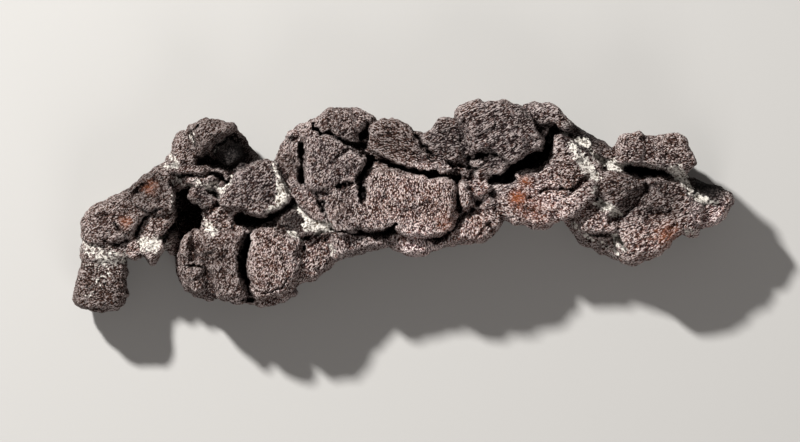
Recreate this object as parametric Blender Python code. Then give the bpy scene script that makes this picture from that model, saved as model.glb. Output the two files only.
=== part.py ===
"""A fossil coprolite: one stone, 221 mm long, lying on the side that was flattened when it was soft.

It formed as a thick cord that was laid down in folds, so the shape is a pile of folds. Each fold is a closed pad
with an outline seen from above and a lowest and highest level. The pads are fused into one skin, and cracks are
pressed into it. The skin is then brought down to a few thousand faces and cut flat underneath.

Units are metres in Blender; the tables are in millimetres. +X runs along the stone, +Z is up, and the origin is
under the middle of the stone on the surface that it rests on.
"""

import math

import bmesh
import bpy
import numpy as np
from mathutils import Vector, geometry, noise

MM = 0.001
SKIN_VOXEL = 0.9 * MM  # grid on which the folds are fused
SKIN_TRIANGLES = 9000  # faces left after the skin is thinned
RING_POINTS = 48  # points round a fold
RING_LEVELS = 18  # rows from a fold's foot to its crown
FOOT_SQUARENESS = 2.2  # how square a fold is below its middle
CURVE_STEPS = 8  # points on the smooth outline for each point given
LUMP_SIZE = 9 * MM  # width of the soft lumps on every fold
LUMP_HEIGHT = 1.2 * MM
CRACK_FLOOR = 5 * MM  # cracks fade out between this level and CRACK_FADE above it
CRACK_FADE = 7 * MM


def core():
    """The cord's own thickness, under the folds that show. (low, high, squareness, outline)"""
    return [
        (-4, 8, 2.6, [(-100, -2), (-90, 6), (-78, 12), (-66, 13), (-56, 10), (-52, 0), (-56, -9), (-66, -12),
                    (-76, -15), (-84, -15), (-92, -14), (-100, -12)]),
        (-4, 18, 2.4, [(-104, -14), (-105, -6), (-100, -1), (-90, 3), (-80, 11), (-76, 10), (-79, 3), (-80, -5),
                     (-84, -13), (-93, -15), (-98, -17)]),
        (-3, 15, 2.4, [(-98, -15), (-95, -20), (-96, -29), (-101, -33), (-107, -31), (-106, -22), (-104, -15)]),
        (-4, 20, 2.4, [(-77, 13), (-75, 20), (-69, 25), (-60, 26), (-54, 22), (-50, 14), (-58, 12), (-68, 12)]),
        (-4, 22, 2.5, [(-73, -12), (-73, -24), (-66, -29), (-55, -30), (-45, -30), (-38, -27), (-30, -22),
                     (-23, -16), (-24, -6), (-30, 4), (-38, 9), (-44, 12), (-52, 10), (-58, 3), (-60, -5),
                     (-66, -9)]),
        (-4, 28, 2.8, [(-40, 13), (-37, 22), (-30, 27), (-20, 30), (-10, 27), (0, 25), (6, 18), (12, 8), (14, -4),
                       (8, -11), (0, -11), (-8, -10), (-18, -11), (-26, -9), (-33, 0), (-37, 6)]),
        (-4, 27, 2.8, [(6, 20), (14, 26), (24, 32), (36, 32), (42, 28), (44, 22), (38, 17), (30, 11), (29, 2),
                       (28, -6), (18, -9), (8, -8), (10, 6)]),
        (-4, 25, 2.8, [(40, 31), (48, 31), (56, 26), (66, 20), (67, 12), (62, 5), (56, 0), (50, -3), (42, -5),
                       (34, -4), (31, 1), (32, 7), (46, 16), (48, 24)]),
        (-4, 15, 2.6, [(26, 12), (36, 18), (46, 26), (56, 24), (48, 10), (36, 4), (28, 6)]),
        (-4, 20, 2.4, [(58, 14), (66, 15), (74, 13), (84, 11), (92, 8), (100, 5), (106, 2), (104, -2), (98, -5),
                     (90, -9), (84, -14), (78, -16), (70, -14), (62, -9), (57, -4), (58, 4)]),
        (4, 24, 2.8, [(60, 8), (66, 12), (76, 10), (88, 8), (94, 3), (88, -6), (80, -12), (73, -12),
                        (67, -7), (61, -2)]),
        (3, 22, 2.8, [(68, 16), (73, 22), (82, 21), (91, 21), (93, 16), (89, 13), (80, 13), (70, 14)]),
    ]


def west_arm():
    """The bent arm at the west end, with the foot that hangs from it."""
    return [
        (0, 19, 2.6, [(-101, -13.5), (-107, -15.5), (-108, -20), (-110, -26), (-110.5, -31), (-107, -34.8),
                    (-103, -35.7), (-98, -34.3), (-93.3, -31.5), (-92.8, -26), (-92.2, -19), (-94.5, -14.5)]),
        (2, 25, 2.7, [(-108, -11), (-107.3, -6), (-105, -1.5), (-100.5, 2.2), (-95, 4), (-90, 3), (-85, -1),
                    (-86.5, -5), (-88.5, -9.5), (-93, -11.5), (-99, -13), (-104.5, -13.5)]),
        (0, 20, 3, [(-108.3, -12), (-104, -9), (-97, -9), (-91.5, -12), (-92, -17.5), (-96, -19.5),
                    (-103, -19.5), (-108.2, -17.5)]),
        (3, 23, 2.7, [(-96, 3), (-91.5, 6.2), (-88, 9.7), (-84, 12.7), (-79.5, 14.5), (-75, 13.7), (-75.5, 10),
                    (-81, 7), (-86, 4), (-90, 1)]),
        (6, 26, 3.5, [(-91, 2.5), (-87, 5.5), (-83.5, 8.3), (-79.5, 8.3), (-77, 6), (-76.4, 2), (-76.6, -1.6),
                      (-80.5, -1.8), (-85, -1.3), (-89.5, 0)]),
        (6, 24, 3.5, [(-86, -3), (-82, -1.2), (-77.2, -0.8), (-76.6, -4.5), (-79, -7.7), (-82.5, -11.5),
                      (-86.5, -13), (-88.3, -10)]),
        (2, 19, 2.6, [(-88, -14), (-86, -11.5), (-82.5, -11), (-80.7, -13.5), (-81, -16.5), (-83.5, -18.7),
                      (-86.5, -17.6)]),
        (3, 21, 2.6, [(-93, -13), (-91, -10), (-88.3, -10), (-86.8, -13.5), (-87.6, -16.6), (-90, -18.2),
                      (-92.6, -17.2)]),
        (4, 18, 2.6, [(-72, 3.5), (-70.5, 6.3), (-67, 8), (-63.5, 7), (-61.2, 4.8), (-63, 1.8), (-69.5, 1.3)]),
    ]


def tower():
    """The hump that stands out to the north of the arm."""
    return [
        (4, 26, 2.8, [(-79.8, 13.5), (-78.2, 18.5), (-76.3, 22.5), (-74.8, 24.8), (-71.5, 24.5), (-68.5, 20.5),
                      (-67.5, 15.5), (-71, 12.8), (-76, 12)]),
        (8, 31, 3, [(-72.2, 25), (-71, 27.6), (-67.5, 29.4), (-63.8, 29.8), (-60, 28.4), (-56.5, 27),
                    (-55.5, 25.3), (-59, 24), (-61.5, 21.5), (-64, 18.3), (-68, 17), (-70, 20.5),
                    (-70.8, 23.5)]),
        (2, 21, 2.8, [(-66, 24), (-60, 27), (-55.5, 25.9), (-52.7, 22), (-50.2, 17.5), (-48.2, 13.8), (-53, 12),
                      (-60, 11.5), (-66, 12.5), (-68, 17)]),
        (10, 25, 2.4, ellipse(-57.7, 17.6, 4.4, 4.6)),
        (6, 24.5, 3, [(-79.5, 12.6), (-75, 14.2), (-69, 14), (-64, 13), (-65.5, 11.3), (-71.5, 10.8),
                      (-77, 10.8)]),
        (6, 23, 3, [(-66.5, 12.2), (-62, 13.2), (-58, 12.8), (-55, 10.8), (-58.5, 9), (-63, 9.7), (-66.7, 10)]),
        (10, 24, 2.4, ellipse(-54.2, 12.6, 3, 2.2)),
    ]


def west_body():
    """The west half of the body: the slanting plate, the two round lobes under it and the crumbs between."""
    return [
        (12, 31, 3.6, [(-54.5, 11.8), (-49.5, 14.2), (-46, 15), (-42.8, 14), (-40.8, 9.5), (-39.2, 5.8),
                       (-38.2, 2.8), (-41, 0), (-44.5, -2.2), (-47.2, -3.9), (-50, -2.8), (-55, -1.4),
                       (-59.5, -1), (-62, 1.5), (-60.5, 5.3), (-57.7, 8.8)]),
        (6, 27, 2.8, [(-75, -13), (-73.5, -9.6), (-71, -8.8), (-70, -12), (-70.3, -16), (-72, -18),
                      (-74.5, -16.5)]),
        (4, 28.5, 2.8, [(-68.5, -9), (-62, -8.3), (-57, -7.3), (-53, -7), (-53.6, -11), (-54.2, -15),
                        (-54.8, -20), (-53.8, -24.5), (-52.4, -28), (-53.7, -32.4), (-59, -31.7),
                        (-63, -30), (-65, -22), (-67, -14)]),
        (3, 26, 2.7, [(-75, -17), (-71, -8.5), (-65, -9), (-62, -16), (-61.5, -23), (-62, -30.5), (-66, -31.3),
                    (-71, -29), (-74.3, -25.5)]),
        (6, 27, 2.6, [(-72.6, -21), (-67, -19.8), (-65.5, -24), (-66.5, -28.8), (-70.5, -28.9), (-72.8, -25.5)]),
        (0, 16, 3, [(-76.2, -15.5), (-74, -14), (-70, -20), (-68, -27), (-71.5, -28.5), (-74.5, -25.7),
                    (-75.6, -21)]),
        (6, 29, 2.8, [(-51.2, -9), (-46, -6.5), (-41, -5.8), (-36.5, -7.5), (-34.6, -12), (-34.3, -18),
                      (-35.2, -24), (-37.5, -28), (-43, -30.3), (-48, -31), (-51.3, -28.3), (-52.2, -22),
                      (-52.3, -15)]),
        (0, 20, 2.6, [(-53.5, -31.5), (-50, -28.5), (-44, -28), (-38, -26), (-36, -28.9), (-40, -31.2),
                      (-44.5, -33.2), (-49.5, -34)]),
        (8, 28, 3, [(-43, -5), (-41, -2.3), (-37, -0.3), (-34.3, -0.5), (-30.5, -4.5), (-29.5, -8),
                    (-33.5, -10), (-38.5, -8.5), (-42, -7)]),
        (3, 25, 2.7, [(-36.5, -9.5), (-31, -8.8), (-26, -8.6), (-22, -10.5), (-21.5, -16), (-24.5, -20.3),
                    (-28.5, -24), (-33, -25.4), (-37, -27), (-38, -20), (-37, -14)]),
        (8, 25, 3, [(-33.5, -3.5), (-29.5, -5), (-24, -4.5), (-23.5, -8), (-26, -10.3), (-31, -10.2),
                    (-35, -9)]),
        (2, 23, 3, [(-25, -8), (-18, -8), (-11, -9), (-5.5, -9), (-4.5, -12), (-10, -13.9), (-15, -15.2),
                    (-19.5, -16.6), (-24, -17.3)]),
        (8, 20, 2.4, ellipse(-64, -0.7, 2.6, 2.1)),
        (8, 22.5, 2.4, ellipse(-60.5, -2, 2.7, 2.2)),
        (8, 24, 2.4, ellipse(-56.8, -3.2, 2.8, 2.4)),
        (8, 22, 2.4, ellipse(-62.7, -4.5, 2.8, 2.2)),
        (4, 21, 2.4, ellipse(-65.6, -6.5, 2.5, 2.8)),
        (8, 24, 2.4, ellipse(-59, -6.2, 3.1, 2.3)),
        (8, 23, 2.4, ellipse(-55.2, -6, 2.5, 2.1)),
    ]


def middle():
    """The middle mass: a rim and a cap round the high pads, and the big plate east of them."""
    return [
        (4, 28, 2.8, [(-42.6, 13.5), (-41.7, 18), (-39.4, 23.3), (-36.5, 26.2), (-33, 27), (-33.6, 21),
                      (-34.5, 15), (-34, 9), (-32, 4), (-34.5, 1.5), (-37.5, 4), (-40.5, 9)]),
        (8, 29, 3, [(-36.8, 3.5), (-33, 7), (-29, 5.3), (-28, 1), (-25.2, -3.3), (-25.6, -6), (-30, -5.3),
                    (-33.5, -2)]),
        (5, 32, 2.8, [(-35.3, 25.7), (-31, 28.8), (-27, 31.5), (-23, 32.5), (-18.8, 32.2), (-15.5, 33.2),
                    (-12.3, 31.4), (-9.6, 29), (-11.5, 26), (-13.9, 25), (-15.4, 21), (-20, 21.3),
                    (-23, 23.5), (-26, 25.5), (-29, 26), (-30.5, 23), (-34, 21.5)]),
        (12, 33.5, 3.8, [(-33.4, 22), (-29.5, 23.6), (-24, 23.2), (-20, 21.5), (-17.5, 19), (-14.7, 17),
                         (-11.9, 15.8), (-13.5, 12), (-14.8, 7.5), (-20, 6.4), (-26, 4.8), (-29.3, 4.4),
                         (-32.4, 7), (-33, 13)]),
        (12, 33, 3.8, [(-29.6, 4.2), (-25.5, 7.2), (-20, 7.7), (-15.2, 8), (-13.8, 3.5), (-11.4, 0), (-10.4, -5),
                       (-15.5, -8.4), (-21.7, -9.6), (-24.9, -6.2), (-26.2, -2.3), (-28.1, 1.5)]),
        (12, 34, 3.8, [(-12, 10.5), (-8.5, 13.8), (-3, 12.6), (1, 10.8), (5, 9.8), (8, 8.7), (13, 9.9),
                       (16.9, 8.6), (17.6, 3), (17.6, -2), (16.9, -6), (14, -10), (8, -10.5), (2.5, -10.6),
                       (-2, -8.6), (-4, -6.6), (-8, -8.3), (-14.4, -7.6), (-15.6, -2), (-13.6, 3),
                       (-12.9, 6.5)]),
        (3, 26, 2.8, [(-7, -8.5), (0, -8), (6, -8.5), (11, -10.3), (9.6, -14.5), (4.5, -16.3), (0, -15.5),
                      (-4.5, -13)]),
        (8, 32, 3.4, [(-12, 26.2), (-9.5, 28.7), (-5, 29), (-0.8, 28.2), (2.4, 25.7), (4.4, 22), (6.5, 18.8),
                      (9.5, 16.2), (14.5, 14.4), (17.2, 11.5), (13.5, 9.8), (9, 11), (4, 11.9), (0, 13.3),
                      (-5, 15.3), (-9, 16.8), (-12.2, 19)]),
        (10, 32, 3, [(18.2, 8), (20.3, 9.2), (22.5, 5.5), (23.3, 1.5), (21, -1.2), (18.3, -3.3), (16.5, -4.6),
                     (17.7, -0.5), (18.4, 3.5)]),
        (10, 31, 3, [(21.6, 8), (25, 10.2), (29, 9.6), (29.8, 6), (27.5, 3), (24, 1.5), (22.3, 4)]),
        (10, 29, 2.6, [(23.5, 1), (27.5, 3.9), (30.4, 2.8), (30.9, 0), (27.5, -1.8), (24, -1.2)]),
        (3, 27, 3, [(22, -1.8), (27, -0.4), (33.4, -1.2), (33.4, -3.8), (31.6, -6.7), (29.3, -10.4),
                    (25, -11.7), (18, -12.6), (12, -14.2), (8, -14), (13, -9.9), (16.4, -6.5), (19.4, -3.6)]),
    ]


def north_plate():
    """The big plate on the north side, the tongue under it and the rim that runs east from it."""
    return [
        (8, 31, 3.4, [(3.9, 23.1), (7.3, 24.2), (10.8, 28), (14, 29.4), (18, 28.8), (22, 26), (24, 20),
                      (21, 15.8), (15.5, 14.4), (10.7, 15.8), (6.7, 17.7), (5.1, 20.7)]),
        (14, 36, 3.8, [(16.5, 29.5), (18.1, 33), (21.8, 35.3), (26, 35.3), (30, 34.8), (34, 34.8),
                       (38, 33.5), (41.8, 31.7), (44.8, 28.2), (46.8, 25), (47, 20.4), (43.3, 18),
                       (39.2, 15.9), (36, 14.1), (32.6, 16.5), (30.3, 18.4), (25.5, 17.7), (21.7, 16.9),
                       (19.5, 21), (18.6, 25.5)]),
        (10, 32, 3.2, [(22, 13.2), (23.6, 17.4), (29.5, 18.8), (34.4, 16.9), (35.2, 13), (32.3, 9.8),
                       (28.5, 8.8), (24, 9.4)]),
        (10, 29, 2.6, ellipse(18.8, 13.8, 2.9, 1.9)),
        (10, 29, 2.6, ellipse(20.4, 11.3, 1.8, 1.9)),
        (6, 29, 3, [(40, 32.8), (43, 34.1), (47, 33.9), (51, 32.7), (54.3, 29.7), (58, 27), (55.5, 24.5),
                    (52.6, 25.6), (51, 27.6), (48, 28.2), (45.2, 27), (42.5, 28.5)]),
        (4, 26, 2.8, [(52.5, 25.5), (55, 29.3), (59, 26.4), (62.5, 24.1), (66.5, 21.6), (70.8, 18.2),
                      (71.5, 14.5), (67, 14.8), (63, 17.5), (59, 20.5), (55.5, 22.5)]),
        (8, 30.5, 2.9, [(29.6, 7.9), (36.5, 8.2), (37.5, 11.7), (41, 12.4), (45, 12.2), (48, 15.5),
                        (49.5, 19), (51.2, 23.6), (55, 23.2), (59, 20), (60.5, 15), (63, 10.5), (61, 6),
                        (56, 0), (53.3, -3.5), (49.5, -5.4), (45.5, -6.8), (40, -6.7), (35.5, -6),
                        (32.2, -3.7), (30.2, 0)]),
        (8, 28, 2.8, [(55.5, 20), (60, 20.5), (64.5, 15.5), (67, 12), (64.5, 9), (61, 9.5), (58, 13.5)]),
        (5, 31.5, 3, [(54, 3.5), (57.5, 7.5), (62, 9.9), (64.5, 8), (64.4, 4), (61.6, 1), (59.2, -1.5),
                      (56, -3.5), (51.6, -4), (52.2, 0)]),
    ]


def east_end():
    """The east end: the slab on its north side and the blunt cone that ends the stone."""
    return [
        (12, 32, 3.8, [(70.6, 17.5), (71.1, 22), (73, 24.4), (76, 24.8), (78.2, 25.7), (80.5, 23.6), (86, 23.2),
                       (90.5, 24.2), (93.6, 22), (94.7, 18.5), (96.8, 15.4), (95, 12.4), (91, 11.4),
                       (86, 12.3), (80, 13.2), (75, 14.2), (69.6, 14)]),
        (8, 28.5, 3, [(64.3, 11.2), (69.5, 12.7), (74.4, 10.9), (77.4, 9.4), (77.8, 5), (76.4, 0.8), (73, -2.2),
                      (69, -1.3), (65, 1.8), (63.6, 5.5)]),
        (4, 27.5, 2.9, [(73, 10.4), (79, 11.2), (84, 11), (89, 9.9), (94.5, 7), (99, 3), (101.6, -3.6),
                        (98.7, -8), (93.5, -9.5), (90.2, -12), (86, -15.3), (83, -17.6), (78, -18.9),
                        (73.5, -18.2), (71, -14), (70, -9), (69.5, -4), (71.5, 3)]),
        (2, 22, 2.8, [(91, 9.2), (99, 8.7), (104, 7.2), (108.2, 5.5), (110.6, 3), (110, 0.3), (107, -3.8),
                      (103, -6.2), (98.5, -7.7), (94, -6), (92, 2)]),
        (4, 26.5, 3, [(56.5, -2), (60, 1.5), (63.5, 2.4), (67.5, 1), (71, -2.5), (72, -6), (71, -9.8),
                      (66, -11.2), (62, -9.8), (58.5, -6.6)]),
        (0, 21, 2.6, [(53.3, -3.8), (57, -1.5), (62, -4), (67, -7), (72, -8.5), (76, -13), (76.5, -18.7),
                      (70, -17.5), (64, -14.3), (58, -9.8)]),
        (6, 16, 2.4, ellipse(95.5, -8.5, 3, 1.5)),
    ]


def cracks():
    """Cracks and crevices seen from above. (depth, half width, points along it)"""
    return [
        (4, 1.5, [(-80, -1), (-85, -2.5), (-87, -6), (-89, -10)]),
        (1.5, 1.5, [(-89.5, 4.5), (-85.5, 7.5)]),
        (4, 1.5, [(-68.5, 27.5), (-71, 24.5), (-70, 20.5)]),
        (5, 2.4, [(-67, 15.5), (-62, 15), (-62.5, 19.5), (-59.5, 22.7), (-55, 22.3), (-52.8, 18)]),
        (9, 2.4, [(-55, -4.5), (-50, -4.8), (-45.5, -3.6), (-41, -1.5)]),
        (13, 2, [(-52.6, -9), (-53.5, -15), (-53.8, -21), (-53, -26), (-51.8, -29)]),
        (5, 1.6, [(-34.2, 21), (-34.2, 14), (-33.5, 8), (-35, 2), (-30, -5)]),
        (4, 1.4, [(-31, 25), (-28, 25.5), (-24.5, 22.5), (-19, 22), (-12.5, 21)]),
        (6, 1.8, [(-13.5, 27), (-13.7, 23.5), (-13.5, 20.5)]),
        (10, 2.2, [(-12.4, 16.5), (-11.6, 14), (-13.6, 10.5), (-14.5, 7), (-14, 2)]),
        (6, 1.8, [(-23.5, -8.8), (-17, -8.8), (-11, -9.6), (-6.5, -8.6), (-3, -6.5)]),
        (8, 2, [(-10, 15.8), (-3, 13.6), (3, 11.4), (8, 10.2), (14, 10.6)]),
        (5, 1.4, [(18, 9), (17.8, 4), (18.4, -1)]),
        (5, 1.7, [(4.5, 23), (6.5, 20.5), (9, 17)]),
        (4, 1.4, [(21.5, 16.8), (26, 18), (31, 18.2)]),
        (5, 1.5, [(5, -11), (12, -10.6), (16.3, -7.5), (19, -3.8), (23, -1)]),
        (14, 2.3, [(30, 8.7), (34, 9.2), (37, 12.2), (42, 14), (46.6, 17), (48.4, 21.5), (50, 25)]),
        (3, 1.3, [(45, 4), (49, 5.7), (56, 5.6), (60, 8.5)]),
        (9, 1.6, [(68, 13.8), (75.5, 12.6), (82, 11.9), (90, 10.6)]),
        (3, 2.6, [(79, 6), (76.5, 0.5), (71, -4)]),
        (3, 2.6, [(75, -1.5), (81, -2.4), (88, -2.5)]),
        (3, 1.5, [(62, -9.9), (66.5, -11.2), (70.5, -10.5), (73, -14.5)]),
    ]


def ellipse(x, y, half_x, half_y, points=10):
    """The outline of a round fold."""
    turns = [2 * math.pi * k / points for k in range(points)]
    return [(x + half_x * math.cos(t), y + half_y * math.sin(t)) for t in turns]


def smooth_outline(points):
    """RING_POINTS places, evenly spaced along the closed Catmull-Rom curve through the points."""
    p = np.array(points, float)
    before, after, beyond = np.roll(p, 1, 0), np.roll(p, -1, 0), np.roll(p, -2, 0)
    curve = []
    for i in range(len(p)):
        for step in range(CURVE_STEPS):
            t = step / CURVE_STEPS
            curve.append(0.5 * (2 * p[i] + (after[i] - before[i]) * t
                                + (2 * before[i] - 5 * p[i] + 4 * after[i] - beyond[i]) * t ** 2
                                + (3 * p[i] - before[i] - 3 * after[i] + beyond[i]) * t ** 3))
    curve = np.array(curve + curve[:1])
    along = np.concatenate([[0], np.cumsum(np.linalg.norm(np.diff(curve, axis=0), axis=1))])
    even = np.linspace(0, along[-1], RING_POINTS, endpoint=False)
    return np.column_stack([np.interp(even, along, curve[:, k]) for k in range(2)])


def add_fold(pile, low, high, squareness, outline):
    """One closed pad: a ball whose rings take the outline's form. Squareness shapes the upper half: 2 is an
    ellipsoid, and more gives a flatter crown with steeper sides."""
    ring = smooth_outline(outline)
    centre = ring.mean(axis=0)
    pad = bmesh.new()
    bmesh.ops.create_uvsphere(pad, u_segments=RING_POINTS, v_segments=RING_LEVELS, radius=1)
    for vert in pad.verts:
        turn = math.atan2(vert.co.y, vert.co.x) / (2 * math.pi) * RING_POINTS
        rim = ring[round(turn) % RING_POINTS]
        power = 2 / (squareness if vert.co.z > 0 else FOOT_SQUARENESS)
        reach = math.hypot(vert.co.x, vert.co.y) ** power
        lift = math.copysign(abs(vert.co.z) ** power, vert.co.z)
        x, y = centre + (rim - centre) * reach
        vert.co = Vector((x, y, (low + high) / 2 + lift * (high - low) / 2)) * MM
    bmesh.ops.recalc_face_normals(pad, faces=pad.faces)
    mesh = bpy.data.meshes.new("fold")
    pad.to_mesh(mesh)
    pad.free()
    pile.from_mesh(mesh)
    bpy.data.meshes.remove(mesh)


def with_modifier(bm, kind, **settings):
    """A new bmesh: this one after one modifier."""
    mesh = bpy.data.meshes.new("stage")
    bm.to_mesh(mesh)
    bm.free()
    stage = bpy.data.objects.new("stage", mesh)
    bpy.context.scene.collection.objects.link(stage)
    modifier = stage.modifiers.new("stage", kind)
    for name, value in settings.items():
        setattr(modifier, name, value)
    graph = bpy.context.evaluated_depsgraph_get()
    result = bmesh.new()
    result.from_mesh(stage.evaluated_get(graph).to_mesh())
    bpy.data.objects.remove(stage)
    bpy.data.meshes.remove(mesh)
    return result


def keep_largest_shell(bm):
    """Removes the skins of air pockets that were shut in between folds."""
    left, shells = set(bm.verts), []
    while left:
        shell, edge_of_shell = set(), [left.pop()]
        while edge_of_shell:
            vert = edge_of_shell.pop()
            shell.add(vert)
            for edge in vert.link_edges:
                other = edge.other_vert(vert)
                if other in left:
                    left.remove(other)
                    edge_of_shell.append(other)
        shells.append(shell)
    shells.sort(key=len)
    bmesh.ops.delete(bm, geom=[v for shell in shells[:-1] for v in shell], context="VERTS")


def press_cracks(bm):
    """Moves the skin down along each crack, most on its line and not at all past its half width."""
    upper = [v for v in bm.verts if v.co.z > CRACK_FLOOR]
    drop = {}
    for depth, half_width, points in cracks():
        line = [Vector(p) for p in points]
        low_x, high_x = min(p.x for p in line) - half_width, max(p.x for p in line) + half_width
        low_y, high_y = min(p.y for p in line) - half_width, max(p.y for p in line) + half_width
        for vert in upper:
            place = vert.co.xy / MM
            if not (low_x < place.x < high_x and low_y < place.y < high_y):
                continue
            away = min(distance_to_stretch(place, a, b) for a, b in zip(line, line[1:]))
            if away < half_width:
                press = depth * (1 - (away / half_width) ** 2) ** 1.5
                drop[vert] = max(drop.get(vert, 0), press)
    for vert, press in drop.items():
        vert.co.z -= press * MM * min(1, (vert.co.z - CRACK_FLOOR) / CRACK_FADE)


def distance_to_stretch(place, a, b):
    """The distance from a place to the stretch between a and b."""
    nearest, share = geometry.intersect_point_line(place, a, b)
    nearest = (a if share < 0 else b if share > 1 else nearest)
    return math.hypot(place.x - nearest.x, place.y - nearest.y)


def raise_lumps(bm):
    """Soft lumps on the whole skin."""
    bm.normal_update()
    for vert in bm.verts:
        vert.co += vert.normal * LUMP_HEIGHT * noise.noise(vert.co / LUMP_SIZE)


def cut_flat_underneath(bm):
    """Cuts off what is below the ground, and closes the stone with flat faces that it rests on."""
    cut = bmesh.ops.bisect_plane(bm, geom=bm.verts[:] + bm.edges[:] + bm.faces[:], dist=0.02 * MM,
                                 plane_co=(0, 0, 0), plane_no=(0, 0, 1), clear_inner=True)
    rim = [e for e in cut["geom_cut"] if isinstance(e, bmesh.types.BMEdge)]
    bmesh.ops.holes_fill(bm, edges=rim, sides=0)
    bmesh.ops.triangulate(bm, faces=[f for f in bm.faces if len(f.verts) > 4])


def centre_on_origin(bm):
    """Puts the origin under the middle of the stone."""
    places = np.array([v.co for v in bm.verts])
    middle_x, middle_y, _ = (places.min(axis=0) + places.max(axis=0)) / 2
    bmesh.ops.translate(bm, verts=bm.verts, vec=(-middle_x, -middle_y, 0))


def stone_material():
    """Iron-stained stone, dark brown with a purple cast."""
    material = bpy.data.materials.new("ironstone")
    material.use_nodes = True
    shader = material.node_tree.nodes["Principled BSDF"]
    shader.inputs["Base Color"].default_value = (0.115, 0.078, 0.072, 1)
    shader.inputs["Roughness"].default_value = 0.85
    shader.inputs["Metallic"].default_value = 0
    return material


def coprolite():
    """The whole stone as one object."""
    pile = bmesh.new()
    for fold in core() + west_arm() + tower() + west_body() + middle() + north_plate() + east_end():
        add_fold(pile, *fold)
    skin = with_modifier(pile, "REMESH", mode="VOXEL", voxel_size=SKIN_VOXEL)
    keep_largest_shell(skin)
    press_cracks(skin)
    raise_lumps(skin)
    bmesh.ops.triangulate(skin, faces=skin.faces[:])
    skin = with_modifier(skin, "DECIMATE", ratio=SKIN_TRIANGLES / len(skin.faces))
    cut_flat_underneath(skin)
    centre_on_origin(skin)
    mesh = bpy.data.meshes.new("coprolite")
    skin.to_mesh(mesh)
    skin.free()
    mesh.shade_smooth()
    mesh.materials.append(stone_material())
    stone = bpy.data.objects.new("coprolite", mesh)
    bpy.context.scene.collection.objects.link(stone)
    return stone


def main():
    for obj in list(bpy.data.objects):
        bpy.data.objects.remove(obj)
    coprolite()


main()
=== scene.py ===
import math

import bmesh
import bpy
import numpy as np
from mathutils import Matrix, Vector, noise
from mathutils.bvhtree import BVHTree


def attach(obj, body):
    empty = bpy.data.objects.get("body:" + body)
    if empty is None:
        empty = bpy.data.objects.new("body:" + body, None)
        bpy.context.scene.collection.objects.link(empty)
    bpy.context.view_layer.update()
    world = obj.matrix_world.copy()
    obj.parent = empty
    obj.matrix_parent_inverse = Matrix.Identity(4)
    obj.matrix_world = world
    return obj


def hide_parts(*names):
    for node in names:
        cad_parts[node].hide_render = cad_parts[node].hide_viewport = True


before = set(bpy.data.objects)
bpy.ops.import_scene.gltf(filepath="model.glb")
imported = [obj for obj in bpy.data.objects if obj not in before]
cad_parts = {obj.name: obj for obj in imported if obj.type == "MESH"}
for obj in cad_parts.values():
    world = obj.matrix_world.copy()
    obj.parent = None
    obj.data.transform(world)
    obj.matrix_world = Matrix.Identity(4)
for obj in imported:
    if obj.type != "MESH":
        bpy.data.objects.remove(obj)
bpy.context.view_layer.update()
mm = 0.001
noise.seed_set(3)  # any number but 0 gives the same wander in every run
print("frame loaded")


def ellipse(x, y, halfX, halfY, points=10):
    turns = [2 * math.pi * k / points for k in range(points)]
    return [(x + halfX * math.cos(t), y + halfY * math.sin(t)) for t in turns]


# The stone formed as a thick cord laid down in folds. Each fold is a closed pad, written in millimetres:
# lowest level, highest level, how square its crown is (2 is round), and its outline seen from above.

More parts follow.
